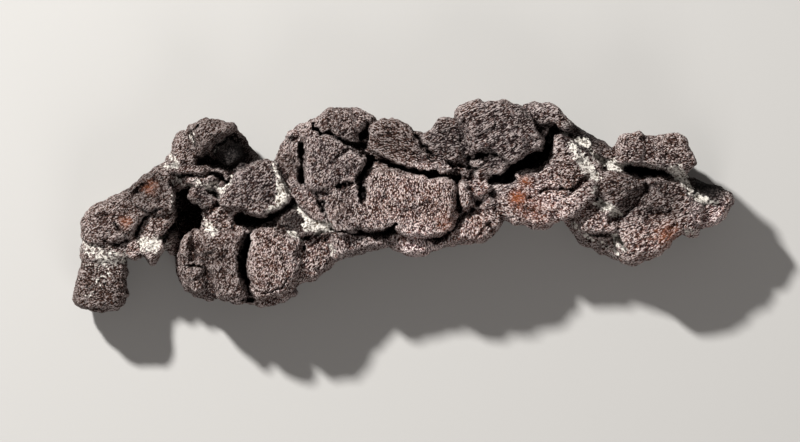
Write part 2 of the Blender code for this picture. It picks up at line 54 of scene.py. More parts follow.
# the cord's main run, which carries the outer folds, and the fills between them
coreFolds = {
    "hollowWallNorth": (0, 19, 2.4, [(-79, 11), (-72, 11), (-69.5, 9.5), (-71.5, 6.5), (-77, 5.5)]),
    "hollowWallSouth": (-2, 15, 2.4, ellipse(-78, -12.5, 3.2, 4)),
    "rimFill": (6, 28, 3, ellipse(-36, 22.4, 3.8, 3.4)),
    "plateFill": (8, 33, 3, ellipse(-19.8, 7.2, 6.5, 2.8)),
    "crumbFill": (6, 22.5, 2.6, ellipse(-62, -8.3, 4, 2.2)),
    "bandFill": (4, 22.5, 3.1, ellipse(-68, 9.6, 6.5, 3)),
    "strapFill": (4, 22, 3.1, ellipse(-86, -6, 4, 5.5)),
    "capFill": (8, 27, 2.8, ellipse(-13, 25.5, 3, 4)),
    "kneeFill": (4, 24.5, 2.6, ellipse(75.5, 1, 4.5, 5)),
    "seamFill": (8, 30.5, 3, [(-30, 24), (-22, 22.5), (-16, 20), (-13, 16.5), (-17, 18), (-22, 20),
        (-29, 22)]),
    "northFill": (8, 28.5, 3, [(3, 24), (7, 20), (10, 16.5), (13, 18), (9, 22), (6, 25)]),
    "wedgeFill": (4, 21, 3, ellipse(-61.7, 7.2, 2.6, 2.2)),
    "slabShelf": (4, 24, 3, [(66.5, 16.5), (70, 17), (74, 15.5), (75.5, 13.4), (72, 11.5), (67, 12.5)]),
    "slabShelfEast": (4, 24, 3, [(87.5, 13.5), (92, 13), (95, 10), (93, 7.5), (88, 9.5)]),
    "slabBed": (-4, 11, 2.6, [(70, 14), (80, 14.5), (89, 13.5), (93, 10), (88, 7), (76, 8)]),
    "floorWest": (-4, 6, 2.6, [(-100, -2), (-90, 6), (-78, 12), (-66, 13), (-56, 10), (-52, 0), (-56, -9),
        (-66, -12), (-76, -15), (-84, -15), (-92, -14), (-100, -12)]),
    "armCord": (-4, 18, 2.4, [(-104, -14), (-105, -6), (-100, -1), (-90, 3), (-80, 11), (-76, 10),
        (-79, 3), (-80, -5), (-84, -13), (-93, -15), (-98, -17)]),
    "footCord": (-3, 15, 2.4, [(-98, -15), (-95, -20), (-96, -29), (-101, -33), (-107, -31), (-106, -22),
        (-104, -15)]),
    "towerCord": (-4, 20, 2.4, [(-77, 13), (-75, 20), (-69, 25), (-60, 26), (-54, 22), (-50, 14),
        (-58, 12), (-68, 12)]),
    "westCord": (-4, 22, 2.5, [(-73, -12), (-73, -24), (-66, -29), (-55, -30), (-45, -30), (-38, -27),
        (-30, -22), (-23, -16), (-24, -6), (-30, 4), (-38, 9), (-44, 12), (-52, 10), (-58, 3), (-60, -5),
        (-66, -9)]),
    "middleCord": (-4, 28, 2.8, [(-40, 13), (-37, 22), (-30, 27), (-20, 30), (-10, 27), (0, 25), (6, 18),
        (12, 8), (14, -4), (8, -11), (0, -11), (-8, -10), (-18, -11), (-26, -9), (-33, 0), (-37, 6)]),
    "northCord": (-4, 27, 2.8, [(6, 20), (14, 26), (24, 32), (36, 32), (42, 28), (44, 22), (38, 17),
        (30, 11), (29, 2), (28, -6), (18, -9), (8, -8), (10, 6)]),
    "eastCord": (-4, 25, 2.8, [(40, 31), (48, 31), (56, 26), (66, 20), (67, 12), (62, 5), (56, 0),
        (50, -3), (42, -5), (34, -4), (31, 1), (32, 7), (46, 16), (48, 24)]),
    "creviceBed": (-4, 15, 2.6, [(26, 12), (36, 18), (46, 26), (56, 24), (48, 10), (36, 4), (28, 6)]),
    "tailCord": (-4, 20, 2.4, [(58, 14), (66, 15), (74, 13), (84, 11), (92, 8), (100, 5), (106, 2),
        (104, -2), (98, -5), (90, -9), (84, -14), (78, -16), (70, -14), (62, -9), (57, -4), (58, 4)]),
    "tailUpper": (4, 24, 2.8, [(60, 8), (66, 12), (76, 10), (88, 8), (94, 3), (88, -6), (80, -12),
        (73, -12), (67, -7), (61, -2)]),
    "slabCord": (3, 22, 2.8, [(68, 16), (73, 22), (82, 21), (91, 21), (93, 16), (89, 13), (80, 13),
        (70, 14)]),
}

# the crooked arm at the west end, with its foot, elbow and knobs
westArmFolds = {
    "foot": (0, 21, 2.6, [(-101, -13.5), (-107, -15.5), (-108, -20), (-110, -26), (-110.5, -31),
        (-107, -34.8), (-103, -35.7), (-98, -34.3), (-93.3, -31.5), (-92.8, -26), (-92.2, -19),
        (-94.5, -14.5)]),
    "elbow": (2, 25, 2.7, [(-108, -11), (-107.3, -6), (-105, -1.5), (-100.5, 2.2), (-95, 4), (-90, 3),
        (-85, -1), (-86.5, -5), (-88.5, -9.5), (-93, -11.5), (-99, -13), (-104.5, -13.5)]),
    "footJoint": (0, 22, 3, [(-108.3, -12), (-104, -9), (-97, -9), (-91.5, -12), (-92, -17.5),
        (-96, -19.5), (-103, -19.5), (-108.2, -17.5)]),
    "armShoulder": (3, 23, 2.7, [(-96, 3), (-91.5, 6.2), (-88, 9.7), (-84, 12.7), (-79.5, 14.5),
        (-75, 13.7), (-75.5, 10), (-81, 7), (-86, 4), (-90, 1)]),
    "strapUpper": (6, 26, 3.5, [(-91, 2.5), (-87, 5.5), (-83.5, 8.3), (-79.5, 8.3), (-77, 6), (-76.4, 2),
        (-76.6, -1.6), (-80.5, -1.8), (-85, -1.3), (-89.5, 0)]),
    "strapLower": (6, 22.5, 3.5, [(-86, -3), (-82, -1.2), (-77.2, -0.8), (-76.6, -4.5), (-79, -7.7),
        (-82.5, -11.5), (-86.5, -13), (-88.3, -10)]),
    "knobEast": (2, 23.5, 2.8, [(-87.6, -14), (-86, -10.8), (-82.5, -10.2), (-80, -13), (-81.3, -16.6),
        (-84, -19), (-86.3, -17)]),
    "knobWest": (3, 22.5, 2.4, [(-93, -13), (-91, -10), (-88.3, -10), (-86.8, -13.5), (-87.6, -16.6),
        (-90, -18.2), (-92.6, -17.2)]),
    "pebbleWedge": (4, 21.5, 3.2, [(-72.6, 3.5), (-70.5, 6.6), (-67, 8.2), (-63, 7.2), (-60.4, 4.8),
        (-62, 1.2), (-66, -0.4), (-70.5, 0.6)]),
}

# the small stack that closes the hollow on the north
towerFolds = {
    "towerWest": (4, 26, 2.2, [(-79.8, 13.5), (-78.2, 18.5), (-76.3, 22.5), (-74.8, 24.8), (-71.5, 24.5),
        (-68.5, 20.5), (-67.5, 15.5), (-71, 12.8), (-76, 12)]),
    "towerTop": (4, 31.5, 1.7, [(-72.2, 25), (-71, 27.6), (-67.5, 29.4), (-63.8, 29.8), (-60, 28.4),
        (-56.5, 27), (-55.5, 25.3), (-58.3, 24), (-62, 21.8), (-64.4, 18.4), (-67.8, 16), (-69.6, 19.5),
        (-70.8, 23.5)]),
    "towerEast": (2, 21, 2.8, [(-66, 24), (-60, 27), (-55.5, 25.9), (-52.7, 22), (-50.2, 17.5),
        (-48.2, 13.8), (-53, 12), (-60, 11.5), (-66, 12.5), (-68, 17)]),
    "towerBall": (4, 26.5, 1.6, ellipse(-58.2, 17.7, 5, 5)),
    "towerBand": (6, 24.5, 3, [(-79.5, 12.6), (-75, 14.2), (-69, 14), (-64, 13), (-65.5, 11.3),
        (-71.5, 10.8), (-77, 10.8)]),
    "towerArch": (6, 23, 3, [(-66.5, 12.2), (-62, 13.2), (-58, 12.8), (-55, 10.8), (-58.5, 9), (-63, 9.7),
        (-66.7, 10)]),
    "towerBead": (10, 24, 2.4, ellipse(-54.2, 12.6, 3, 2.2)),
}

# the slanting plate, the two west lobes and the crumbs in front of them
westBodyFolds = {
    "slantPlate": (12, 31, 3.6, [(-54.5, 11.8), (-49.5, 14.2), (-46, 15), (-42.4, 14), (-40.2, 9.8),
        (-38.4, 6), (-37.2, 2.6), (-40.4, -0.4), (-44.5, -2.4), (-47.2, -3.9), (-50, -2.8), (-55, -1.4),
        (-59.5, -1), (-62, 1.5), (-60.5, 5.3), (-57.7, 8.8)]),
    "lobeNub": (6, 27, 2.8, [(-75, -13), (-73.5, -9.6), (-71, -8.8), (-70, -12), (-70.3, -16), (-72, -18),
        (-74.5, -16.5)]),
    "lobeWest": (4, 28.5, 2.8, [(-68.5, -9), (-62, -8.3), (-57, -7.3), (-53, -7), (-53.6, -11),
        (-54.2, -15), (-54.8, -20), (-53.8, -24.5), (-52.4, -28), (-53.7, -32.4), (-59, -31.7),
        (-63, -30), (-65, -22), (-67, -14)]),
    "lobeWestEdge": (3, 26, 2.7, [(-75, -17), (-71, -8.5), (-65, -9), (-62, -16), (-61.5, -23),
        (-62, -30.5), (-66, -31.3), (-71, -29), (-74.3, -25.5)]),
    "lobeWestKnob": (6, 27, 2.6, [(-72.6, -21), (-67, -19.8), (-65.5, -24), (-66.5, -28.8),
        (-70.5, -28.9), (-72.8, -25.5)]),
    "lobeWestFoot": (0, 16, 3, [(-76.2, -15.5), (-74, -14), (-70, -20), (-68, -27), (-71.5, -28.5),
        (-74.5, -25.7), (-75.6, -21)]),
    "lobeEast": (6, 29, 2.8, [(-51.2, -9), (-46, -6.5), (-41, -5.8), (-36.5, -7.5), (-34.6, -12),
        (-34.3, -18), (-35.2, -24), (-37.5, -28), (-43, -30.3), (-48, -31), (-51.3, -28.3), (-52.2, -22),
        (-52.3, -15)]),
    "lobeEastLip": (0, 20, 2.6, [(-53.5, -31.5), (-50, -28.5), (-44, -28), (-38, -26), (-36, -28.9),
        (-40, -31.2), (-44.5, -33.2), (-49.5, -34)]),
    "saddle": (8, 28, 3, [(-43, -5), (-41, -2.3), (-37, -0.3), (-34.3, -0.5), (-30.5, -4.5), (-29.5, -8),
        (-33.5, -10), (-38.5, -8.5), (-42, -7)]),
    "flankWest": (3, 25, 2.7, [(-36.5, -9.5), (-31, -8.8), (-26, -8.6), (-22, -10.5), (-21.5, -16),
        (-24.5, -20.3), (-28.5, -24), (-33, -25.4), (-37, -27), (-38, -20), (-37, -14)]),
    "flankNeck": (8, 27, 3, [(-33.5, -3.5), (-29.5, -5), (-24, -4.5), (-23.5, -8), (-26, -10.3),
        (-31, -10.2), (-35, -9)]),
    "flankStrip": (2, 29, 3, [(-25, -8), (-18, -8), (-11, -9), (-5.5, -9), (-4.5, -12), (-10, -13.9),
        (-15, -15.2), (-19.5, -16.6), (-24, -17.3)]),
    "crumbBed": (-2, 18, 2.6, [(-67.5, 0.5), (-62, 1.2), (-56, -1), (-53, -4), (-54, -8.5), (-60, -9.5),
        (-66.5, -9.5)]),
    "crumbA": (8, 20, 2.4, ellipse(-64, -0.7, 2.6, 2.1)),
    "crumbB": (8, 22.5, 2.4, ellipse(-60.5, -2, 2.7, 2.2)),
    "crumbC": (8, 24, 2.4, ellipse(-56.8, -3.2, 2.8, 2.4)),
    "crumbD": (8, 22, 2.4, ellipse(-62.7, -4.5, 2.8, 2.2)),
    "crumbE": (4, 21, 2.4, ellipse(-65.6, -6.5, 2.5, 2.8)),
    "crumbF": (8, 24, 2.4, ellipse(-59, -6.2, 3.1, 2.3)),
    "crumbG": (8, 23, 2.4, ellipse(-55.2, -6, 2.5, 2.1)),
}

# the cap and the broad plates in the middle, with the flank below them
middleFolds = {
    "rimWest": (4, 28, 2.8, [(-43.4, 13.3), (-41.9, 18), (-39.4, 23.3), (-36.5, 26.2), (-33, 27),
        (-33.6, 21), (-34.5, 15), (-34, 9), (-32, 4), (-34.5, 0.8), (-38.8, 3), (-42.2, 8)]),
    "rimKnobs": (8, 29, 3, [(-36.8, 3.5), (-33, 7), (-29, 5.3), (-28, 1), (-25.2, -3.3), (-25.6, -6),
        (-30, -5.3), (-33.5, -2)]),
    "cap": (5, 32, 2.8, [(-35.3, 25.7), (-31, 28.8), (-27, 31.5), (-23, 32.5), (-18.8, 32.2),
        (-15.5, 33.2), (-12.3, 31.4), (-9.6, 29), (-11.5, 26), (-13.9, 25), (-15.4, 21), (-20, 21.3),
        (-23, 23.5), (-26, 25.5), (-29, 26), (-30.5, 23), (-34, 21.5)]),
    "highPlate": (12, 33.5, 3.8, [(-33.4, 22), (-29.5, 23.6), (-24, 23.2), (-20, 21.5), (-17.5, 19),
        (-14.7, 17), (-11.9, 15.8), (-13.5, 12), (-14.8, 7.5), (-20, 6.4), (-26, 4.8), (-29.3, 4.4),
        (-32.4, 7), (-33, 13)]),
    "lowPlate": (12, 33, 3.8, [(-29.6, 4.2), (-25.5, 7.2), (-20, 7.7), (-15.2, 8), (-13.8, 3.5),
        (-11.4, 0), (-10.4, -5), (-15.5, -8.4), (-21.7, -9.6), (-24.9, -6.2), (-26.2, -2.3),
        (-28.1, 1.5)]),
    "broadPlate": (12, 34, 3.8, [(-12, 10.5), (-8.5, 13.8), (-3, 12.6), (1, 10.8), (5, 9.8), (8, 8.7),
        (13, 9.9), (16.9, 8.6), (17.6, 3), (17.6, -2), (16.9, -6), (14, -10), (8, -10.5), (2.5, -10.6),
        (-2, -8.6), (-4, -6.6), (-8, -8.3), (-14.4, -7.6), (-15.6, -2), (-13.6, 3), (-12.9, 6.5)]),
    "bellyBulge": (3, 29, 2.6, [(-7, -8.5), (0, -8), (6, -8.5), (11, -10.3), (9.6, -14.5), (4.5, -16.3),
        (0, -15.5), (-4.5, -13)]),
    "northLobe": (8, 32, 3.4, [(-12, 26.2), (-9.5, 28.7), (-5, 29), (-0.8, 28.2), (2.4, 25.7), (4.4, 22),
        (6.5, 18.8), (9.5, 16.2), (14.5, 14.4), (17.2, 11.5), (13.5, 9.8), (9, 11), (4, 11.9), (0, 13.3),
        (-5, 15.3), (-9, 16.8), (-12.2, 19)]),
    "sliver": (10, 32, 3, [(18.2, 8), (20.3, 9.2), (22.5, 5.5), (23.3, 1.5), (21, -1.2), (18.3, -3.3),
        (16.5, -4.6), (17.7, -0.5), (18.4, 3.5)]),
    "kneeUpper": (10, 31, 3, [(21.6, 8), (25, 10.2), (29, 9.6), (29.8, 6), (27.5, 3), (24, 1.5),
        (22.3, 4)]),
    "kneeLower": (10, 29, 2.6, [(23.5, 1), (27.5, 3.9), (30.4, 2.8), (30.9, 0), (27.5, -1.8),
        (24, -1.2)]),
    "flankEast": (3, 29.5, 2.8, [(22, -1.8), (27, -0.4), (33.4, -1.2), (33.4, -3.8), (31.6, -6.7),
        (29.3, -10.4), (25, -11.7), (18, -12.6), (12, -14.2), (8, -14), (13, -9.9), (16.4, -6.5),
        (19.4, -3.6)]),
}

# the ridged plate and the round lobe on both sides of the great crack
northPlateFolds = {
    "ridgePlateWest": (8, 31, 3.4, [(3.9, 23.1), (7.3, 24.2), (10.8, 28), (14, 29.4), (18, 28.8),
        (22, 26), (24, 20), (21, 15.8), (15.5, 14.4), (10.7, 15.8), (6.7, 17.7), (5.1, 20.7)]),
    "ridgePlate": (14, 36, 3.8, [(16.5, 29.5), (18.1, 33), (21.8, 35.3), (26, 35.3), (30, 34.8),
        (34, 34.8), (38, 33.5), (40.8, 31.6), (43, 28.8), (45.2, 24.6), (46.9, 21), (46.3, 19.8),
        (43.3, 18), (39.2, 15.9), (36, 14.1), (32.6, 16.5), (30.3, 18.4), (25.5, 17.7), (21.7, 16.9),
        (19.5, 21), (18.6, 25.5)]),
    "ridgeTongue": (10, 32, 3.2, [(22, 13.2), (23.6, 17.4), (29.5, 18.8), (34.4, 16.9), (35.2, 13),
        (32.3, 9.8), (28.5, 8.8), (24, 9.4)]),
    "chipA": (10, 29, 2.6, ellipse(18.8, 13.8, 2.9, 1.9)),
    "chipB": (10, 29, 2.6, ellipse(20.4, 11.3, 1.8, 1.9)),
    "ridgeCap": (6, 29, 3, [(40, 32.8), (43, 34.1), (47, 33.9), (51, 32.7), (54.3, 29.7), (58, 27),
        (55.5, 24.5), (52.6, 25.6), (51, 27.6), (48, 28.2), (45.2, 27), (42.5, 28.5)]),
    "backRim": (4, 26, 2.8, [(52.5, 25.5), (55, 29.3), (59, 26.4), (62.5, 24.1), (66.5, 21.6),
        (70.8, 18.2), (71.5, 14.5), (67, 14.8), (63, 17.5), (59, 20.5), (55.5, 22.5)]),
    "roundLobe": (8, 30.5, 2.9, [(29.6, 7.9), (36.5, 8.2), (37.5, 11.7), (41, 12.4), (45, 12.2),
        (48, 15.5), (49.5, 19), (51.2, 23.6), (55, 23.2), (59, 20), (60.5, 15), (63, 10.5), (61, 6),
        (56, 0), (53.3, -3.5), (49.5, -5.4), (45.5, -6.8), (40, -6.7), (35.5, -6), (32.2, -3.7),
        (30.2, 0)]),
    "rubbleBand": (8, 28, 2.8, [(55.5, 20), (60, 20.5), (64.5, 15.5), (67, 12), (64.5, 9), (61, 9.5),
        (58, 13.5)]),
    "flake": (5, 31.5, 3, [(54, 3.5), (57.5, 7.5), (62, 9.9), (64.5, 8), (64.4, 4), (61.6, 1),
        (59.2, -1.5), (56, -3.5), (51.6, -4), (52.2, 0)]),
}

# the slab, the cone and the tail at the east end
eastEndFolds = {
    "slab": (12, 32, 3.8, [(70.6, 17.5), (71.1, 22), (73, 24.4), (76, 24.8), (78.2, 25.7), (80.5, 23.6),
        (86, 23.2), (90.5, 24.2), (93.6, 22), (94.7, 18.5), (96.8, 15.4), (95, 12.4), (91, 11.4),
        (86, 12.3), (80, 13.2), (75, 14.2), (69.6, 14)]),
    "eastKnob": (8, 28.5, 3, [(64.3, 11.2), (69.5, 12.7), (74.4, 10.9), (77.4, 9.4), (77.8, 5),
        (76.4, 0.8), (73, -2.2), (69, -1.3), (65, 1.8), (63.6, 5.5)]),
    "cone": (4, 27.5, 2.9, [(73, 10.4), (79, 11.2), (84, 11), (89, 9.9), (94.5, 7), (99, 3),
        (101.6, -3.6), (98.7, -8), (93.5, -9.5), (90.2, -12), (86, -15.3), (83, -17.6), (78, -18.9),
        (73.5, -18.2), (71, -14), (70, -9), (69.5, -4), (71.5, 3)]),
    "tail": (2, 24, 2.8, [(91, 9.2), (99, 8.7), (104, 7.2), (108.2, 5.5), (110.6, 3), (110, 0.3),
        (107, -3.8), (103, -6.2), (98.5, -7.7), (94, -6), (92, 2)]),
    "eastBall": (4, 28, 3, [(56.5, -2), (60, 1.5), (63.5, 2.4), (67.5, 1), (71, -2.5), (72, -6),
        (71, -9.8), (66, -11.2), (62, -9.8), (58.5, -6.6)]),
    "backLayer": (0, 21, 2.6, [(53.3, -3.8), (57, -1.5), (62, -4), (67, -7), (72, -8.5), (76, -13),
        (76.5, -18.7), (70, -17.5), (64, -14.3), (58, -9.8)]),
    "coneWart": (6, 16, 2.4, ellipse(95.5, -8.5, 3, 1.5)),
}

# Cracks and crevices: depth, then x, y and half width at each point along them, in millimetres.
cracks = {
    "strap": (4, [(-80.5, -0.6, 0.4), (-84, -1.6, 0.6), (-86.6, -4, 0.8), (-88.3, -7, 0.9),
        (-89.3, -9.8, 0.8)]),
    "shoulder": (1.4, [(-90, 4.4, 0.7), (-88, 5.8, 1.2), (-85.5, 7.4, 0.6)]),
    "armPit": (2, [(-96.2, -6, 0.4), (-95.8, -7.4, 0.7), (-94.3, -8.3, 0.5)]),
    "armScar": (1.4, [(-101, -11.4, 0.4), (-97.5, -12.6, 0.9), (-94.3, -12, 0.6), (-91.5, -10.6, 0.3)]),
    "towerSplit": (3.5, [(-68.2, 27.2, 0.3), (-70.4, 24.8, 0.7), (-70.2, 22.5, 0.6), (-69.4, 20.3, 0.3)]),
    "ballArc": (1.6, [(-63.4, 17.5, 0.7), (-62, 20.8, 0.7), (-58.8, 22.8, 0.7), (-55.4, 21.6, 0.5)]),
    "bandFoot": (2, [(-77, 10.4, 0.4), (-72, 10.2, 0.6), (-67, 10.2, 0.5)]),
    "archPit": (3.5, [(-65.5, 10.6, 0.8), (-62.5, 10.6, 1.3), (-60.2, 9.6, 0.6)]),
    "wedgeEast": (3, [(-66, 5.2, 0.6), (-63.5, 4.6, 1.2), (-62.2, 3.2, 0.8)]),
    "underSlant": (12, [(-55.3, -3.8, 1.3), (-52, -4.6, 1.9), (-48.5, -4.9, 1.8), (-45.2, -3.7, 1.5),
        (-42.6, -2.3, 1.2), (-40, -0.6, 0.6), (-37.5, 1, 0.3)]),
    "betweenLobes": (14, [(-51.2, -9.3, 0.5), (-52, -12, 1.2), (-53, -15, 1.5), (-53.8, -19.5, 1.6),
        (-53.3, -23.5, 1.1), (-52, -26.8, 0.4), (-51.2, -28.6, 0.2)]),
    "footNotch": (4, [(-53.6, -30.6, 0.8), (-51, -31.3, 1.0)]),
    "westNick": (1.2, [(-72.5, -20, 0.6), (-70, -19.3, 0.7), (-67, -20.2, 0.5)]),
    "lip": (0.9, [(-51, -27, 0.4), (-47, -29.2, 0.6), (-41, -27.3, 0.5), (-37.3, -22.5, 0.3)]),
    "rim": (7, [(-34.4, 20, 1.1), (-34, 17.5, 1.6), (-33.8, 15, 0.8), (-34, 13, 1.5), (-33.7, 9.5, 1.9),
        (-33, 7.6, 0.9)]),
    "rimPit": (1.0, [(-37.4, 22.4, 0.5), (-36, 23.2, 0.6)]),
    "cap": (3.2, [(-30.2, 26.8, 0.7), (-28.4, 25.2, 1.3), (-26, 23.8, 0.9), (-22.8, 22.7, 0.5),
        (-19.6, 21.6, 0.4)]),
    "capNotch": (3, [(-12.6, 27.6, 1.2), (-13, 25.6, 1.7), (-14, 23.4, 1.2)]),
    "capFoot": (2.5, [(-19.5, 21, 0.6), (-16.5, 20.3, 1.1), (-13, 20.2, 0.8)]),
    "plateScar": (1.3, [(-22.2, 16, 0.5), (-20.7, 18.2, 0.7), (-18.3, 18.8, 0.6), (-15.4, 17.9, 0.6),
        (-12, 16.6, 0.7)]),
    "plateEast": (10, [(-10, 16.4, 0.5), (-11.6, 14.4, 1.1), (-13.3, 11.8, 1.3), (-14.8, 9, 1.2),
        (-14.7, 6.4, 0.8), (-14.2, 3.8, 0.4)]),
    "plateEastEnd": (1.6, [(-14.2, 3.8, 0.6), (-13.9, 0.8, 0.4)]),
    "pitWest": (2.4, [(-21.8, 6.8, 0.4), (-21, 6.9, 0.6)]),
    "pitMiddle": (2.2, [(-19.8, 7.3, 0.4), (-19.4, 7.1, 0.6)]),
    "pitEast": (2.0, [(-17.9, 7.2, 0.5), (-17.2, 7.5, 0.5)]),
    "knobScar": (2, [(-29.5, 5, 0.6), (-26, 4.5, 0.7)]),
    "lowPlateWest": (3, [(-29.5, 5, 0.5), (-28, 1.6, 0.9), (-27, -0.6, 0.5), (-25.6, -3.4, 0.8),
        (-23.8, -7, 0.5)]),
    "lowPlateFoot": (2.5, [(-24, -8.6, 0.4), (-20, -8.6, 0.6), (-15.5, -9, 0.6), (-12, -9.2, 0.7)]),
    "lowPlateEast": (7, [(-11.5, -9.2, 0.5), (-9.5, -9.3, 1.4), (-7, -8.8, 1.6), (-4.5, -7.6, 1.2),
        (-2.5, -6, 0.6)]),
    "saddleFoot": (2, [(-37.5, -8.8, 0.5), (-34, -10.9, 0.8), (-30, -9.5, 0.6), (-27, -8.6, 0.5)]),
    "flankHole": (2, [(-33.8, -13.3, 0.6), (-33.2, -13.8, 0.7)]),
    "long": (9, [(-12.2, 16.2, 0.35), (-8, 15.3, 0.4), (-3, 13.7, 0.55), (1, 12.3, 0.8), (5, 11, 1.2),
        (8.5, 10.7, 1.9), (11.5, 10.4, 1.1), (14, 10, 0.6)]),
    "longEast": (4, [(15, 9.4, 0.6), (16.6, 9.6, 1.1), (19, 9, 0.6)]),
    "broadEast": (4, [(18, 8.8, 0.6), (17.5, 4, 0.7), (18.3, 0, 0.6), (18.2, -2, 0.4)]),
    "northNotch": (3, [(3.8, 23.5, 0.6), (6, 21, 1.0), (8, 18.6, 0.8), (9.5, 16.8, 0.4)]),
    "tongue": (4, [(22, 15.8, 0.4), (23.5, 16.2, 0.7), (26, 17, 0.8), (31, 17.8, 0.5)]),
    "chipWest": (3, [(16.5, 13.5, 0.7), (20, 13.2, 0.7)]),
    "chipEast": (3, [(21, 13, 0.5), (24, 12.5, 0.6)]),
    "kneeHole": (5, [(24.2, 1.8, 0.9), (25, 1.3, 0.9)]),
    "belly": (2.2, [(5, -11, 0.4), (9, -10.4, 0.6), (13.5, -10.1, 0.6), (16, -8, 0.6), (17, -5.5, 0.5),
        (20, -3.5, 0.7), (23, -1, 0.4)]),
    "bellyScar": (1.5, [(7.5, -11, 0.6), (7.5, -14, 0.4)]),
    "flankScar": (1.2, [(24, -10.5, 0.4), (26, -8, 0.6), (28.5, -5, 0.4)]),
    "great": (16, [(28.7, 8.9, 0.4), (31.5, 9.2, 0.7), (34.2, 10.2, 1.3), (36.4, 12.2, 2.0),
        (39.5, 13.9, 2.3), (44, 15.3, 2.7), (46.8, 17.6, 2.5), (48, 21, 1.8), (49.4, 24.4, 1.6),
        (50.6, 26.4, 0.8)]),
    "roundLobe": (1.6, [(45, 4, 0.4), (46.5, 5.5, 0.7), (49, 5.7, 0.8), (53, 5.6, 0.6), (56, 5.6, 0.4)]),
    "roundNick": (1, [(41, 2.5, 0.5), (43.5, 3.2, 0.6)]),
    "flake": (1.5, [(55, 4, 0.4), (57, 6, 0.6), (60, 8.5, 0.8), (62.5, 9.8, 0.6)]),
    "underSlab": (9, [(74, 12.6, 0.7), (76, 12.4, 1.5), (79, 12, 1.9), (82, 11.7, 1.8), (86, 11.2, 1.2),
        (88.5, 10.9, 0.5)]),
    "ball": (3, [(62, -9.7, 0.6), (64, -9.7, 1.0), (69, -9.6, 1.1), (71.3, -10.5, 0.8),
        (72.6, -12.8, 0.8), (73.5, -15, 0.4)]),
    "tailScar": (1.2, [(99.5, 1, 0.6), (106, 0.5, 0.5)]),
    "eastHole": (4, [(63.6, 4.2, 0.7), (64.4, 3.8, 0.7)]),
}

# Soft valleys between neighbouring swellings, written the same way.
valleys = {
    "towerHollow": (3.5, [(-68, 15.4, 1.6), (-66, 15.4, 2.6), (-62.8, 15, 2.2)]),
    "westSeam": (1.6, [(-70.3, -9, 1.6), (-69.6, -14, 2.0), (-70.4, -18, 1.6)]),
    "westGroove": (1.9, [(-64.5, -17, 2.2), (-65.3, -23, 2.8), (-64.6, -30, 2.2)]),
    "lobeEastFold": (0.8, [(-47, -10, 2), (-41, -14, 2.4), (-38, -21, 2)]),
    "armHollow": (1.3, [(-100, -4.4, 3), (-96.5, -4.6, 4), (-93.5, -3.6, 3)]),
    "plateDip": (0.9, [(-30, 12, 2.5), (-24, 13, 3.5), (-18, 11, 2.5)]),
    "broadDip": (1.0, [(-7, 2, 3), (1, -3, 4), (10, -2, 3)]),
    "northDip": (1.2, [(-10, 22, 2.2), (-3, 19, 2.6), (5, 15.5, 2)]),
    "ridgeJoint": (1.6, [(20, 28, 1.6), (20.5, 22, 2.0), (21.5, 17.5, 1.6)]),
    "ridgeDip": (0.9, [(26, 22, 2.6), (33, 25, 3.2), (41, 28, 2.6)]),
    "knee": (3.2, [(81, 6, 2.0), (78, 2, 3.4), (74.5, -1.5, 3.8), (70, -4, 2.6)]),
    "cone": (2.6, [(76, -1.8, 2.4), (81, -2.6, 3.2), (88, -2.5, 2)]),
    "coneNorth": (1.4, [(84, 7, 2.2), (91, 4, 2.6), (97, 3, 2)]),
    "lobeFoot": (0.9, [(38, -1, 2.4), (46, -3.5, 2.6), (53, -1, 2.2)]),
    "slabDip": (1.1, [(80, 22, 1.6), (81.5, 18, 2.0), (80, 14.5, 1.4)]),
}

# Where the crust lies in fine ridges: middle, reach, the ridges' direction in degrees, their spacing and
# their height.
striations = {
    "ridgePlate": ((32, 26), 17, 27, 1.4, 0.5),
    "ridgePlateWest": ((13, 22), 9, 15, 1.5, 0.45),
    "northLobe": ((-3, 21), 10, -8, 2.2, 0.4),
    "slantPlate": ((-50, 6), 11, 38, 2.0, 0.4),
    "slab": ((83, 18), 12, 10, 2.0, 0.35),
    "cone": ((88, -4), 13, 30, 2.2, 0.45),
    "roundLobe": ((46, -1), 12, 8, 2.2, 0.3),
    "lobeEast": ((-42, -18), 10, 60, 2.2, 0.35),
    "highPlate": ((-23, 14), 10, 50, 2.1, 0.3),
    "broadPlate": ((3, 0), 15, 75, 2.2, 0.25),
    "foot": ((-102, -26), 10, 20, 2.2, 0.35),
    "arm": ((-97, -4), 11, 30, 2.2, 0.35),
    "tail": ((101, 0), 9, 20, 2.0, 0.4),
}

